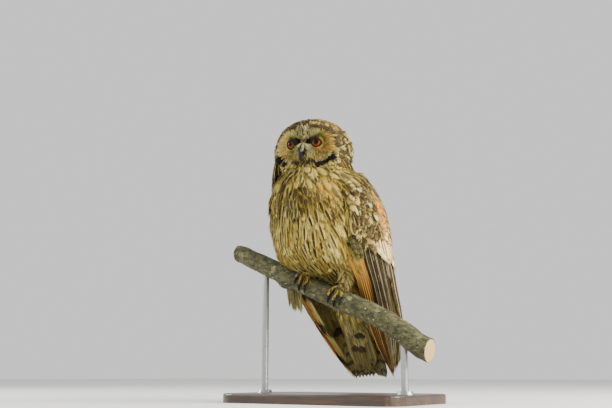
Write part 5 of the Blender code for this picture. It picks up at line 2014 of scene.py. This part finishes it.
def tier(
    coat, wing, forms, columns, rows, reach, wide, lift, roll, kind, drift=0.0, bend=1.0,
    stations=7, jitter=0.05
):
    """Rows of overlapping feathers on a wing, each row a little offset from the last. wing is
    its surface, the sign of its outward side and its own side; reach is how many wing rows
    they span."""
    surface, outward, way = wing
    starts, across = [], []
    for r, row in enumerate(rows):
        shift = 0.5 * (columns[1] - columns[0]) if r % 2 and len(columns) > 1 else 0.0
        starts.extend([row] * len(columns))
        across.extend(column + shift for column in columns)
    starts = np.array(starts, float)
    across = np.clip(np.array(across, float), -0.06, 0.985)
    number = len(starts)
    starts = starts + chance(number, -jitter, jitter)
    across = np.clip(across + chance(number, -jitter, jitter) * 0.22, -0.06, 0.988)
    spans = reach(across) if callable(reach) else reach
    ends = np.minimum(starts + spans + chance(number, -jitter, jitter), 9.0)
    high = lift[1] + (lift[2] if len(lift) > 2 else 0.0) * across
    found = on_sheet(
        surface, outward, starts, across, ends, np.clip(across + drift, -0.06, 1.0), lift[0],
        high + chance(number, -0.0003, 0.0003), stations,
        roll * way * outward + RNG.normal(0, 0.03, number), bend
    )
    looks = wing_looks(starts + 0.5 * (ends - starts) * 0.8, across, kind, way)
    width = wide(across) if callable(wide) else wide
    coat.add(
        forms, *found, width, looks, np.stack([across, starts / 9.0], -1), 0.12,
        chance(number, -0.12, 0.12)
    )


WHITE_SPOTS = (  # place across and down the wing, length in wing rows, half width, lift of the tip
    (0.212, 1.50, 0.62, 0.0032, 0.0040), (0.255, 2.08, 0.70, 0.0034, 0.0042),
    (0.160, 0.86, 0.42, 0.0025, 0.0040), (0.045, 1.95, 0.60, 0.0022, 0.0044),
)


def make_wing(side, matter):
    way = WAY[side]
    surface = sheet(WING_ROWS[side], way)
    outward = wing_outward(surface)
    wing = surface, outward, way
    roll = math.radians(7)
    coat = Plumage()
    # primaries, lowest and longest, then secondaries and tertials over them towards the back
    if side == "left":
        tier(
            coat, wing, NARROW,
            np.concatenate([np.arange(-0.045, 0.17, 0.018), np.arange(0.18, 0.44, 0.022)]), [4.25],
            lambda q: 4.65 - 1.6 * q, lambda q: 0.0027 + 0.0030 * smooth(0.07, 0.25, q),
            (-0.0044, -0.0030, 0.007), roll, "flight", 0.03, 1.4, 14, 0.02
        )
        tier(
            coat, wing, NARROW, np.arange(0.10, 0.46, 0.018), [3.7], lambda q: 3.3 + 0.5 * q,
            0.0036, (-0.0034, -0.0010, 0.004), roll, "flight", 0.01, 1.0, 12, 0.10
        )
    else:
        tier(
            coat, wing, FLIGHT, np.array([0.010, 0.045, 0.09, 0.14, 0.19, 0.24, 0.30, 0.36]),
            [4.25], lambda q: 4.72 - 0.9 * q, 0.0092, (-0.0044, -0.0030, 0.006), roll, "under",
            0.03, 1.4, 14, 0.01
        )
        tier(
            coat, wing, FLIGHT, np.arange(0.16, 0.46, 0.034), [3.9], lambda q: 3.4 + 0.5 * q,
            0.0070, (-0.0034, -0.0008, 0.004), roll, "flight", 0.01, 1.0, 12, 0.10
        )
    tier(
        coat, wing, FLIGHT, np.linspace(0.44, 0.97, 12), [4.2], lambda q: 4.3 - 0.5 * q, 0.0088,
        (-0.0034, -0.0004, 0.001), roll, "flight", 0.0, 1.0, 12, 0.04
    )
    tier(
        coat, wing, FLIGHT, np.linspace(0.42, 0.95, 12), [3.9], lambda q: 3.2 - 0.3 * q, 0.0080,
        (-0.0030, 0.0006, 0.001), roll, "flight", 0.0, 1.0, 10, 0.05
    )
    coat.make(f"wing_{side}_flight_feathers", matter)
    coat = Plumage()
    tier(
        coat, wing, COVERT, np.linspace(0.02, 0.97, 27), [2.75, 3.05],
        lambda q: 1.30 + 0.55 * smooth(0.15, 0.35, q), 0.0048, (-0.0026, 0.0010, 0.001), roll,
        "greater", 0.0, 1.0, 7, 0.07
    )
    tier(coat, wing, COVERT, np.linspace(0.03, 0.97, 17), [1.9, 2.2, 2.5, 2.7],
         1.15, 0.0054, (-0.0026, 0.0016, 0.001), roll, "cover", 0.0, 1.0, 7, 0.09)
    tier(coat, wing, COVERT, np.linspace(0.04, 0.96, 16), [0.35, 0.75, 1.15, 1.5, 1.8],
         1.2, 0.0054, (-0.0028, 0.0018, 0.001), roll, "cover", 0.0, 1.0, 7, 0.10)
    tier(coat, wing, CONTOUR, np.linspace(0.04, 0.96, 22), np.arange(0.3, 2.9, 0.38),
         0.85, 0.0042, (-0.0010, 0.0028), 0.0, "cover", 0.0, 1.0, 5, 0.12)
    if side == "left":
        tier(coat, wing, COVERT, np.array([-0.022, 0.003, 0.028]), [3.72, 3.95],
             0.86, 0.0034, (0.0000, 0.0030), roll, "slate", 0.02, 1.0, 6, 0.04)
    for across, down, long, wide, high in WHITE_SPOTS:
        tier(
            coat, wing, COVERT, np.array([across]), [down], long, wide, (0.0002, high), 0.0,
            "white_spots", 0.01, 1.0, 6, 0.02
        )
    coat.make(f"wing_{side}_coverts", matter)


def make_tail(matter):
    """Twelve barred tail feathers, the middle pair on top, with long coverts above and below."""
    coat = Plumage()
    surface = tail_point
    _, normal, _, _ = frame_at(surface, np.array([0.04]), np.array([0.0]), 1)
    outward = 1 if normal[0] @ TAIL_BACK > 0 else -1
    number = TAIL_FEATHERS
    pair = np.repeat(np.arange(number // 2), 2)
    way = np.tile([1.0, -1.0], number // 2)
    height = 0.0056 - 0.00095 * np.arange(number)
    found = on_sheet(
        surface, outward, 0.016, way * (0.002 + 0.0026 * pair), TAIL_LENGTH * (1.0 - 0.010 * pair),
        way * (0.0035 + 0.0042 * pair), height * 0.6, height, 12, way * 0.03, 1.2,
    )
    looks = Looks(number)
    looks.put(
        ground=mixed("84783f", "6f6336", chance(number)),
        edge=mixed("6f6538", "5c5230", chance(number)), mark="2a2212", width=0.0,
        bars=chance(number, 5.0, 5.6), barred=0.85, speckle=0.3, shaft=0.12,
        tone=0.3 + 0.1 * chance(number)
    )
    coat.add(
        FLIGHT, *found, 0.0125, looks,
        np.stack([0.5 + way * 0.06 * (pair + 1), np.full(number, 0.5)], -1), 0.05
    )
    for face, lifts in ((1, (0.0062, 0.0072)), (-1, (0.0085, 0.0086))):
        number = TAIL_COVERTS
        side = np.linspace(-0.019, 0.019, number) + chance(number, -0.001, 0.001)
        reach = TAIL_LENGTH * (0.80 - 4.0 * np.abs(side)) * chance(number, 0.9, 1.05)
        found = on_sheet(
            surface, outward * face, 0.008, side * 0.9, reach, side, lifts[0],
            lifts[1] * chance(number, 0.9, 1.1), 7, 0.0
        )
        looks = Looks(number)
        looks.put(
            ground=mixed("6a6236", "877a48" if face < 0 else "8d7a4c", chance(number)),
            edge="766b3e" if face < 0 else "b49c66", width=0.1, streak=0.8, bars=4.0,
            barred=0.0 if face < 0 else 0.6, speckle=0.1 if face < 0 else 0.5, tone=chance(number)
        )
        coat.add(
            COVERT, *found, 0.0058, looks, np.stack([0.5 + side * 10, np.full(number, 0.25)], -1),
            0.12
        )
    coat.make("tail_feathers_fan", matter)


def eye_frame(way):
    """An eye's centre, gaze, and the directions across and above it, in the head's frame."""
    splay = math.radians(EYE_SPLAY) * way
    gaze = unit(np.array((math.sin(splay), -math.cos(splay), 0.03)))
    across = unit(np.cross(gaze, (0, 0, 1.0)))
    return np.array((way * EYE_SIDE, -EYE_FORWARD, EYE_UP)), gaze, across, np.cross(across, gaze)


def off_gaze(gaze, across, above, away, turn):
    """The direction at an angle from the gaze, turned round it."""
    round_gaze = across * math.sin(turn) + above * math.cos(turn)
    return gaze * math.cos(away) + round_gaze * math.sin(away)


def make_eye(side, glass, lid):
    """The eyeball, a ball with a raised cornea, and both lids round it."""
    way = WAY[side]
    centre, gaze, across, above = eye_frame(way)
    rings = 40
    sides = 48
    points, maps = [], []
    for i in range(rings + 1):
        away = math.pi * i / rings
        bulge = 1.0 + 0.06 * math.exp(-((away / 0.55) ** 2))
        for k in range(sides):
            turn = 2 * math.pi * k / sides
            way_out = off_gaze(gaze, across, above, away, turn)
            points.append(from_head(centre + way_out * EYE_RADIUS * bulge))
            maps.append((k / sides, i / rings))
            if i in (0, rings):
                break
    faces = []
    last = len(points) - 1
    for k in range(sides):
        faces.append((0, 1 + k, 1 + (k + 1) % sides))
        faces.append((last, last - sides + (k + 1) % sides, last - sides + k))
        for i in range(rings - 2):
            a, b = 1 + i * sides + k, 1 + i * sides + (k + 1) % sides
            faces.append((a, a + sides, b + sides, b))
    ball = mesh_of(f"eyeball_{side}", points, faces)
    outward_faces(ball)
    layer = ball.data.uv_layers.new(name="gaze")
    for polygon in ball.data.polygons:
        values = [maps[ball.data.loops[k].vertex_index] for k in polygon.loop_indices]
        wrap = max(v[0] for v in values) - min(v[0] for v in values) > 0.5
        for k, value in zip(polygon.loop_indices, values):
            layer.data[k].uv = (value[0] + (1.0 if wrap and value[0] < 0.5 else 0.0), value[1])
    ball.data.materials.append(glass)
    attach(ball, BODY)
    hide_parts(f"eye_{side}")
    # both lids as one thin shell over the ball, with an opening that the upper lid shades
    sides = 56
    rings = 9
    inner, outer = [], []
    for i in range(rings):
        share = i / (rings - 1)
        for k in range(sides):
            turn = 2 * math.pi * k / sides
            high = math.cos(turn)
            edge = math.radians(
                LID_EDGE - (LID_DROP[side] * high if high > 0 else LID_RISE[side] * high * high)
            )
            edge -= math.radians(2.5) * math.exp(-((math.sin(turn) * way + 1.0) / 0.5) ** 2)
            edge -= math.radians(EYE_NARROWING[side]) * math.sin(turn) ** 2
            away = edge + (math.radians(84) - edge) * share
            way_out = off_gaze(gaze, across, above, away, turn)
            lip = 0.0003 * math.exp(-((share / 0.16) ** 2))
            inner.append(from_head(centre + way_out * (EYE_RADIUS * LID_OVER)))
            outer.append(from_head(centre + way_out * (EYE_RADIUS * LID_OVER + 0.0006 + lip)))
    points = inner + outer
    shift = len(inner)
    faces = []
    for k in range(sides):
        n = (k + 1) % sides
        for i in range(rings - 1):
            a, b = i * sides + k, i * sides + n
            faces.append((a, b, b + sides, a + sides))
            faces.append((a + shift, a + sides + shift, b + sides + shift, b + shift))
        end = (rings - 1) * sides
        faces.append((k, k + shift, n + shift, n))
        faces.append((end + k, end + n, end + n + shift, end + k + shift))
    lids = mesh_of(f"eyelids_{side}", points, faces)
    outward_faces(lids)
    lids.data.materials.append(lid)
    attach(lids, BODY)


def lid_feathers(matter):
    """The short close feathers on the lids, which leave only a thin bare rim round each eye."""
    coat = Plumage()
    for way in (-1, 1):
        number = LID_FEATHERS
        eye_centre, gaze, across, above = eye_frame(way)
        turn = 2 * math.pi * (np.arange(number) + chance(number)) / number * 5
        high = np.cos(turn)
        name = "left" if way > 0 else "right"
        closed = np.where(high > 0, LID_DROP[name] * high, LID_RISE[name] * high * high)
        edge = np.radians(LID_EDGE - closed - EYE_NARROWING[name] * (1 - high**2))
        start = edge + np.radians(7.5 + 26 * chance(number))
        reach = np.radians(chance(number, 13, 22))
        t = np.linspace(0, 1, 4)[None, :]
        away = start[:, None] + reach[:, None] * t
        swing = turn[:, None] + RNG.normal(0, 0.06, number)[:, None] * t
        out = (
            gaze * np.cos(away)[..., None]
            + (across * np.sin(swing)[..., None] + above * np.cos(swing)[..., None])
            * np.sin(away)[..., None]
        )
        high_off = EYE_RADIUS * LID_OVER + 0.0005 + (0.0002 + 0.0007 * t) * np.ones((number, 1))
        spots = eye_centre + out * high_off[..., None]
        centre = from_head(spots)
        up = unit(centre - from_head(eye_centre))
        along = unit(np.gradient(centre, axis=1))
        side = unit(np.cross(up, along))
        looks = Looks(number)
        # the lid feathers take the face's tint, with its painted shade of the upper lid over each
        # eye
        tint, fleck, _ = face_tint(spots[:, -1])
        looks.put(ground=tint, edge=tint, speckle=fleck, tone=chance(number))
        coat.add(
            LOCK, centre, side, up, chance(number, 0.0005, 0.0008), looks,
            unwrap_polar(spots[:, 0]), 0.2
        )
    coat.make("lid_feathers", matter)


def make_bill(horn):
    for name, line, node in (
        ("bill_upper_horn", BILL_LINE, "bill_upper"),
        ("bill_lower_horn", LOWER_BILL_LINE, "bill_lower")
    ):
        dense = sweep(line, np.linspace(0, len(line) - 1, 36))
        rings = []
        for i, (forward, up, half_width, half_height) in enumerate(dense):
            before, after = dense[max(i - 1, 0)], dense[min(i + 1, len(dense) - 1)]
            along = np.array((after[0] - before[0], after[1] - before[1]))
            along = along / np.linalg.norm(along)
            turn = ring_angles(32)
            high = half_height * np.cos(turn)
            side = 0.52 * half_width * np.sin(turn) * (1 - 0.22 * np.cos(turn))
            ridge = 0.0003 * np.exp(-((np.sin(turn) / 0.25) ** 2)) * (np.cos(turn) > 0)
            high = high + ridge
            rings.append(in_head(side, forward - along[1] * high, up + FACE_RISE + along[0] * high))
        piece = loft(name, rings)
        piece.data.materials.append(horn)
        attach(piece, BODY)
        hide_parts(node)


def make_bristles(matter):
    """Pale bristles round the bill, which sweep out over its sides and hide its base."""
    number = BRISTLES
    draw = partial(chance, number)
    way = np.where(np.arange(number) % 2 == 0, 1.0, -1.0)
    t = draw()
    kind = draw()
    over = kind < 0.30
    ridge = kind > 0.76
    root_side = way * np.where(over, draw(0.0002, 0.0024), draw(0.0016, 0.0046))
    root_up = FACE_RISE + np.where(over, 0.0058 - 0.0018 * t, 0.0022 - 0.0105 * t)
    root_forward = 0.0345 + 0.0035 * draw() * (1 - 0.5 * t) + over * 0.0025
    # those on the bill's ridge lie down along it and hide its upper third
    root_side = np.where(ridge, way * draw(0.0001, 0.0030), root_side)
    root_up = np.where(ridge, FACE_RISE + 0.0064 - 0.0020 * t, root_up)
    root_forward = np.where(ridge, 0.0388 + 0.0022 * t, root_forward)
    roots = np.stack([root_side, -root_forward, root_up], -1)
    angle = np.radians(np.where(over, -22 - 40 * t, 6 - 62 * t) + RNG.normal(0, 8, number))
    heading = unit(
        np.stack([way * np.cos(angle), -0.30 - 0.25 * draw(), np.sin(angle)], -1)
    )
    down = unit(
        np.stack([way * 0.30 * draw(), np.full(number, -0.86), np.full(number, -0.50)], -1)
    )
    heading = np.where(ridge[:, None], down, heading)
    length = draw(0.0075, 0.0140) * (1 - 0.25 * t)
    length = np.where(ridge, draw(0.0090, 0.0125), length)
    stations = 5
    line = np.linspace(0, 1, stations)[None, :, None]
    droop = np.zeros((number, 1, 3))
    droop[:, 0, 1] = np.where(ridge, 0.0004, 0.0068)
    droop[:, 0, 2] = np.where(ridge, -0.0046, -0.0010)
    centre = roots[:, None] + heading[:, None] * length[:, None, None] * line + droop * line**2
    centre = from_head(centre)
    along = unit(np.gradient(centre, axis=1))
    face_out = np.broadcast_to(HEAD_TURN @ np.array((0.0, -1.0, 0.15)), centre.shape)
    side = unit(np.cross(face_out, along))
    up = unit(np.cross(along, side))
    looks = Looks(number)
    looks.ground = mixed("b6ae80", "7b7448", draw())
    looks.blend((ridge & (np.abs(root_side) < 0.0008)) * 0.8, ground="2c2417")
    looks.blend(((t > 0.80) & (draw() < 0.6)) * 0.85, ground="3b3020")
    looks.put(edge=looks.ground, tone=draw())
    coat = Plumage()
    coat.add(
        LOCK, centre, side, up, draw(0.00032, 0.00055), looks,
        unwrap_polar(to_head(centre[:, 0])), 0.2
    )
    coat.make("bill_bristles", matter)


def make_claws(horn):
    for side, x in FOOT_PLACES.items():
        outward = WAY[side]
        for name, spread, stop in TOES:
            way = 1 if stop > 0 else -1
            path, _ = toe_path(
                x, spread * outward, stop - 4.0 * way, stop + CLAW_TURN * way, CLAW_RADIUS, 0.0003,
                22
            )
            t = np.linspace(0, 1, len(path))
            radii = CLAW_RADIUS * 1.12 * np.interp(t, (0, 0.2, 0.6, 1.0), (1.0, 0.98, 0.62, 0.08))
            claw = tube(f"claw_{side}_{name}_horn", path, radii, 16)
            claw.data.materials.append(horn)
            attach(claw, BODY)
            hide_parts(f"claw_{side}_{name}")


# ---- The branch and the stand ----

def make_branch(bark, cut):
    """A cut length of branch with furrowed bark, a broken knot and sawn ends."""
    low, high = PERCH_LINE[0][0], PERCH_LINE[-1][0]
    count, sides = 300, 88
    rings = []
    for i in range(count):
        x = low + (high - low) * i / (count - 1)
        centre, _, top, radius = perch_frame(x)
        turn = ring_angles(sides)
        out = np.cos(turn)[:, None] * top + np.sin(turn)[:, None] * np.array((0, -1.0, 0))
        spots = centre + out * radius
        bumps = np.array([
            1.1 * noise.noise(Vector((p[0] * 55, p[1] * 120, p[2] * 120)))
            + 0.55 * noise.noise(Vector((p[0] * 150, p[1] * 300, p[2] * 300)))
            + 0.35 * noise.noise(Vector((p[0] * 420, p[1] * 700, p[2] * 700)))
            for p in spots
        ])
        furrow = np.array(
            [noise.noise(Vector((p[0] * 60 + 9, a * 3.2, 4.0))) for p, a in zip(spots, turn)]
        )
        knot = math.exp(-(((x - KNOT_AT) / 0.011) ** 2))
        knob = knot * np.exp(-(((turn - 2.5) / 0.5) ** 2))
        raised = (
            0.00062 * bumps - 0.0006 * np.maximum(furrow, 0.0) ** 0.8 + 0.0012 * knot
            + 0.0040 * knob
        )
        rings.append(centre + out * (radius - 0.0002 + raised)[:, None])
    branch = loft("branch", rings)
    branch.data.materials.append(bark)
    branch.data.materials.append(cut)
    layer = branch.data.uv_layers.new(name="rings")
    first = len(rings) * sides
    for polygon in branch.data.polygons:
        if any(v >= first for v in polygon.vertices):
            polygon.material_index = 1
            polygon.use_smooth = False
            end = 0 if first in polygon.vertices else len(rings) - 1
            x = low if end == 0 else high
            centre, _, top, radius = perch_frame(x)
            for k in polygon.loop_indices:
                spot = np.array(branch.data.vertices[branch.data.loops[k].vertex_index].co) - centre
                layer.data[k].uv = (spot @ top / radius, -spot[1] / radius)
    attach(branch, BODY)
    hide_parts("perch")
    return branch


def crust_tree(matter):
    """Geometry nodes that strew small crusts over a surface: density, size and seed are inputs."""
    tree = bpy.data.node_groups.new("strewn_crusts", "GeometryNodeTree")
    face = tree.interface
    face.new_socket("Geometry", in_out="INPUT", socket_type="NodeSocketGeometry")
    for name, value in (("Density", 9000.0), ("Smallest", 0.6), ("Largest", 1.6)):
        face.new_socket(name, in_out="INPUT", socket_type="NodeSocketFloat").default_value = value
    face.new_socket("Seed", in_out="INPUT", socket_type="NodeSocketInt").default_value = 5
    face.new_socket("Geometry", in_out="OUTPUT", socket_type="NodeSocketGeometry")
    start = add(tree, "NodeGroupInput")
    patches = add(tree, "ShaderNodeTexNoise", {"Scale": 48.0, "Detail": 3.0})
    where = add(
        tree, "FunctionNodeCompare", {0: patches.outputs["Fac"], 1: 0.56}, operation="GREATER_THAN"
    )
    strewn = add(
        tree, "GeometryNodeDistributePointsOnFaces",
        {
            "Mesh": start.outputs["Geometry"], "Selection": where.outputs[0],
            "Density": start.outputs["Density"], "Seed": start.outputs["Seed"]
        }
    )
    flake = add(tree, "GeometryNodeMeshIcoSphere", {"Radius": 0.0010, "Subdivisions": 1})
    flat = add(
        tree, "GeometryNodeTransform",
        {"Geometry": flake.outputs["Mesh"], "Scale": (1.0, 0.8, 0.30)}
    )
    size = add(
        tree, "FunctionNodeRandomValue",
        {2: start.outputs["Smallest"], 3: start.outputs["Largest"], "Seed": start.outputs["Seed"]},
        data_type="FLOAT"
    )
    placed = add(
        tree, "GeometryNodeInstanceOnPoints",
        {
            "Points": strewn.outputs["Points"], "Instance": flat.outputs["Geometry"],
            "Rotation": strewn.outputs["Rotation"], "Scale": size.outputs[1]
        }
    )
    real = add(tree, "GeometryNodeRealizeInstances", {"Geometry": placed.outputs["Instances"]})
    dressed = add(
        tree, "GeometryNodeSetMaterial", {"Geometry": real.outputs["Geometry"], "Material": matter}
    )
    add(tree, "NodeGroupOutput", {"Geometry": dressed.outputs["Geometry"]})
    return tree


def crust_material():
    """Dry lichen crusts: powdery, pale grey-green."""
    made, tree = new_material("lichen_crust", 0.95)
    place = object_place(tree)
    cloud = clouds(tree, place, 260.0, 3.0)
    found = mix(tree, step_between(tree, cloud, 0.35, 0.65), "666b45", "959a6c")
    return dressed(made, found)


def make_crusts(branch):
    matter = crust_material()
    tree = crust_tree(matter)
    piece = bpy.data.objects.new("lichen_crusts", branch.data.copy())
    bpy.context.scene.collection.objects.link(piece)
    modifier = piece.modifiers.new("strewn", "NODES")
    modifier.node_group = tree
    sizes = {
        item.name: item.identifier for item in tree.interface.items_tree if item.in_out == "INPUT"
    }
    modifier[sizes["Density"]] = 5000.0
    modifier[sizes["Seed"]] = 5
    piece = applied(piece)
    for polygon in piece.data.polygons:
        polygon.use_smooth = True
    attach(piece, BODY)


# ---- Putting it together ----

def put_skin_tint(skin, table):
    """The zones' ground colours on the skin, as the coat has them."""
    mesh = skin.data
    verts = vertex_rows(mesh)
    zones, first, second = classify(verts, table)
    tint = body_looks(verts, first, second).ground * 0.8
    head = in_zone(zones, "head")
    tint[head] = head_looks(verts[head])[0].ground
    for zone in ("wing_left", "wing_right"):
        tint[in_zone(zones, zone)] = linear(DRAB)
    tint[in_zone(zones, "tail")] = linear("84783f")
    layer = mesh.attributes.new("tint", "FLOAT_COLOR", "POINT")
    layer.data.foreach_set(
        "color", np.concatenate([tint, np.ones((len(tint), 1))], 1).astype(np.float32).ravel()
    )


skin = make_skin()
table = zone_table()
put_skin_tint(skin, table)
skin.data.materials.append(skin_material())
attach(skin, BODY)
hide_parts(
    "torso", "neck", "head", "wing_left", "wing_right", "tail", "leg_left", "leg_right",
    "foot_left", "foot_right"
)
contour_matter = plumage_material("contour_feathers", 2.0, 22, 0.10, 0.00025)
face_matter = plumage_material("face_feathers", 1.1, 5, 0.05, 0.00010)
vane_matter = plumage_material("firm_vanes", 2.4, 46, 0.09, 0.00020)
grow_on_skin(skin, skin_kit(skin), table, contour_matter, face_matter)
ear_tufts(contour_matter)
neck_curtain(contour_matter)
dark_blotches(contour_matter)
flank_tuft(contour_matter)
for wing_side in ("left", "right"):
    make_wing(wing_side, vane_matter)
make_tail(vane_matter)
glass = eye_material()
lid_skin = lid_material()
for eye_side in ("left", "right"):
    make_eye(eye_side, glass, lid_skin)
lid_feathers(face_matter)
make_bill(horn_material("slate_bill_horn", "060608", "0d0d12", 0.58))
make_bristles(face_matter)
make_claws(horn_material("black_claw_horn", "141214", "2a2626", 0.28))
branch = make_branch(bark_material(), cut_wood_material())
make_crusts(branch)

wood = stand_wood_material()
steel = rod_material()
for node, matter in (("stand_base", wood), ("stand_rod_1", steel), ("stand_rod_2", steel)):
    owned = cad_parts[node]
    owned.data.materials.clear()
    owned.data.materials.append(matter)

# ---- Floor, light and camera ----

floor = mesh_of("floor", [(-6, -6, 0), (6, -6, 0), (6, 6, 0), (-6, 6, 0)], [(0, 1, 2, 3)], False)
floor.data.materials.append(pale_material("pale_floor", "e6e6e2"))
world = bpy.data.worlds.new("studio")
bpy.context.scene.world = world
world.use_nodes = True
world.node_tree.nodes["Background"].inputs["Color"].default_value = (0.90, 0.92, 0.90, 1.0)
world.node_tree.nodes["Background"].inputs["Strength"].default_value = 1.0


def softbox(name, place, aim, size, power, tint=(1.0, 1.0, 1.0)):
    lamp = bpy.data.lights.new(name, "AREA")
    lamp.shape = "DISK"
    lamp.size = size
    lamp.energy = power
    lamp.color = tint
    made = bpy.data.objects.new(name, lamp)
    made.location = place
    made.rotation_euler = (Vector(aim) - Vector(place)).to_track_quat("-Z", "Y").to_euler()
    bpy.context.scene.collection.objects.link(made)


softbox("key", (1.15, 0.35, 1.15), (0.02, -0.01, 0.24), 0.6, 30.0, (1.0, 0.97, 0.90))
softbox("fill", (-0.2, -1.5, 0.75), (0, -0.02, 0.2), 0.9, 3.5, (1.0, 1.0, 0.97))
softbox("left rim", (-1.3, -0.45, 0.70), (-0.02, -0.02, 0.22), 0.6, 17.0, (1.0, 0.99, 0.92))
softbox("right rim", (1.5, -0.05, 0.55), (0.07, 0.0, 0.22), 0.5, 34.0, (1.0, 0.96, 0.86))

VIEW_TURN = math.radians(35)  # how far round to the bird's left the camera stands
VIEW_RISE = math.radians(12.4)  # how far it looks up
VIEW_FAR = 1.0
VIEW_HEIGHT = 0.035
camera = bpy.data.cameras.new("camera")
camera.lens = 45.88  # 780 pixels for a picture 612 pixels wide
camera.sensor_width = 36.0
camera.clip_start = 0.01
eye = bpy.data.objects.new("camera", camera)
eye.location = (VIEW_FAR * math.sin(VIEW_TURN), -0.06 - VIEW_FAR * math.cos(VIEW_TURN), VIEW_HEIGHT)
eye.rotation_euler = (math.radians(90) + VIEW_RISE, 0.0, VIEW_TURN)
bpy.context.scene.collection.objects.link(eye)
bpy.context.scene.camera = eye

bpy.context.view_layer.update()
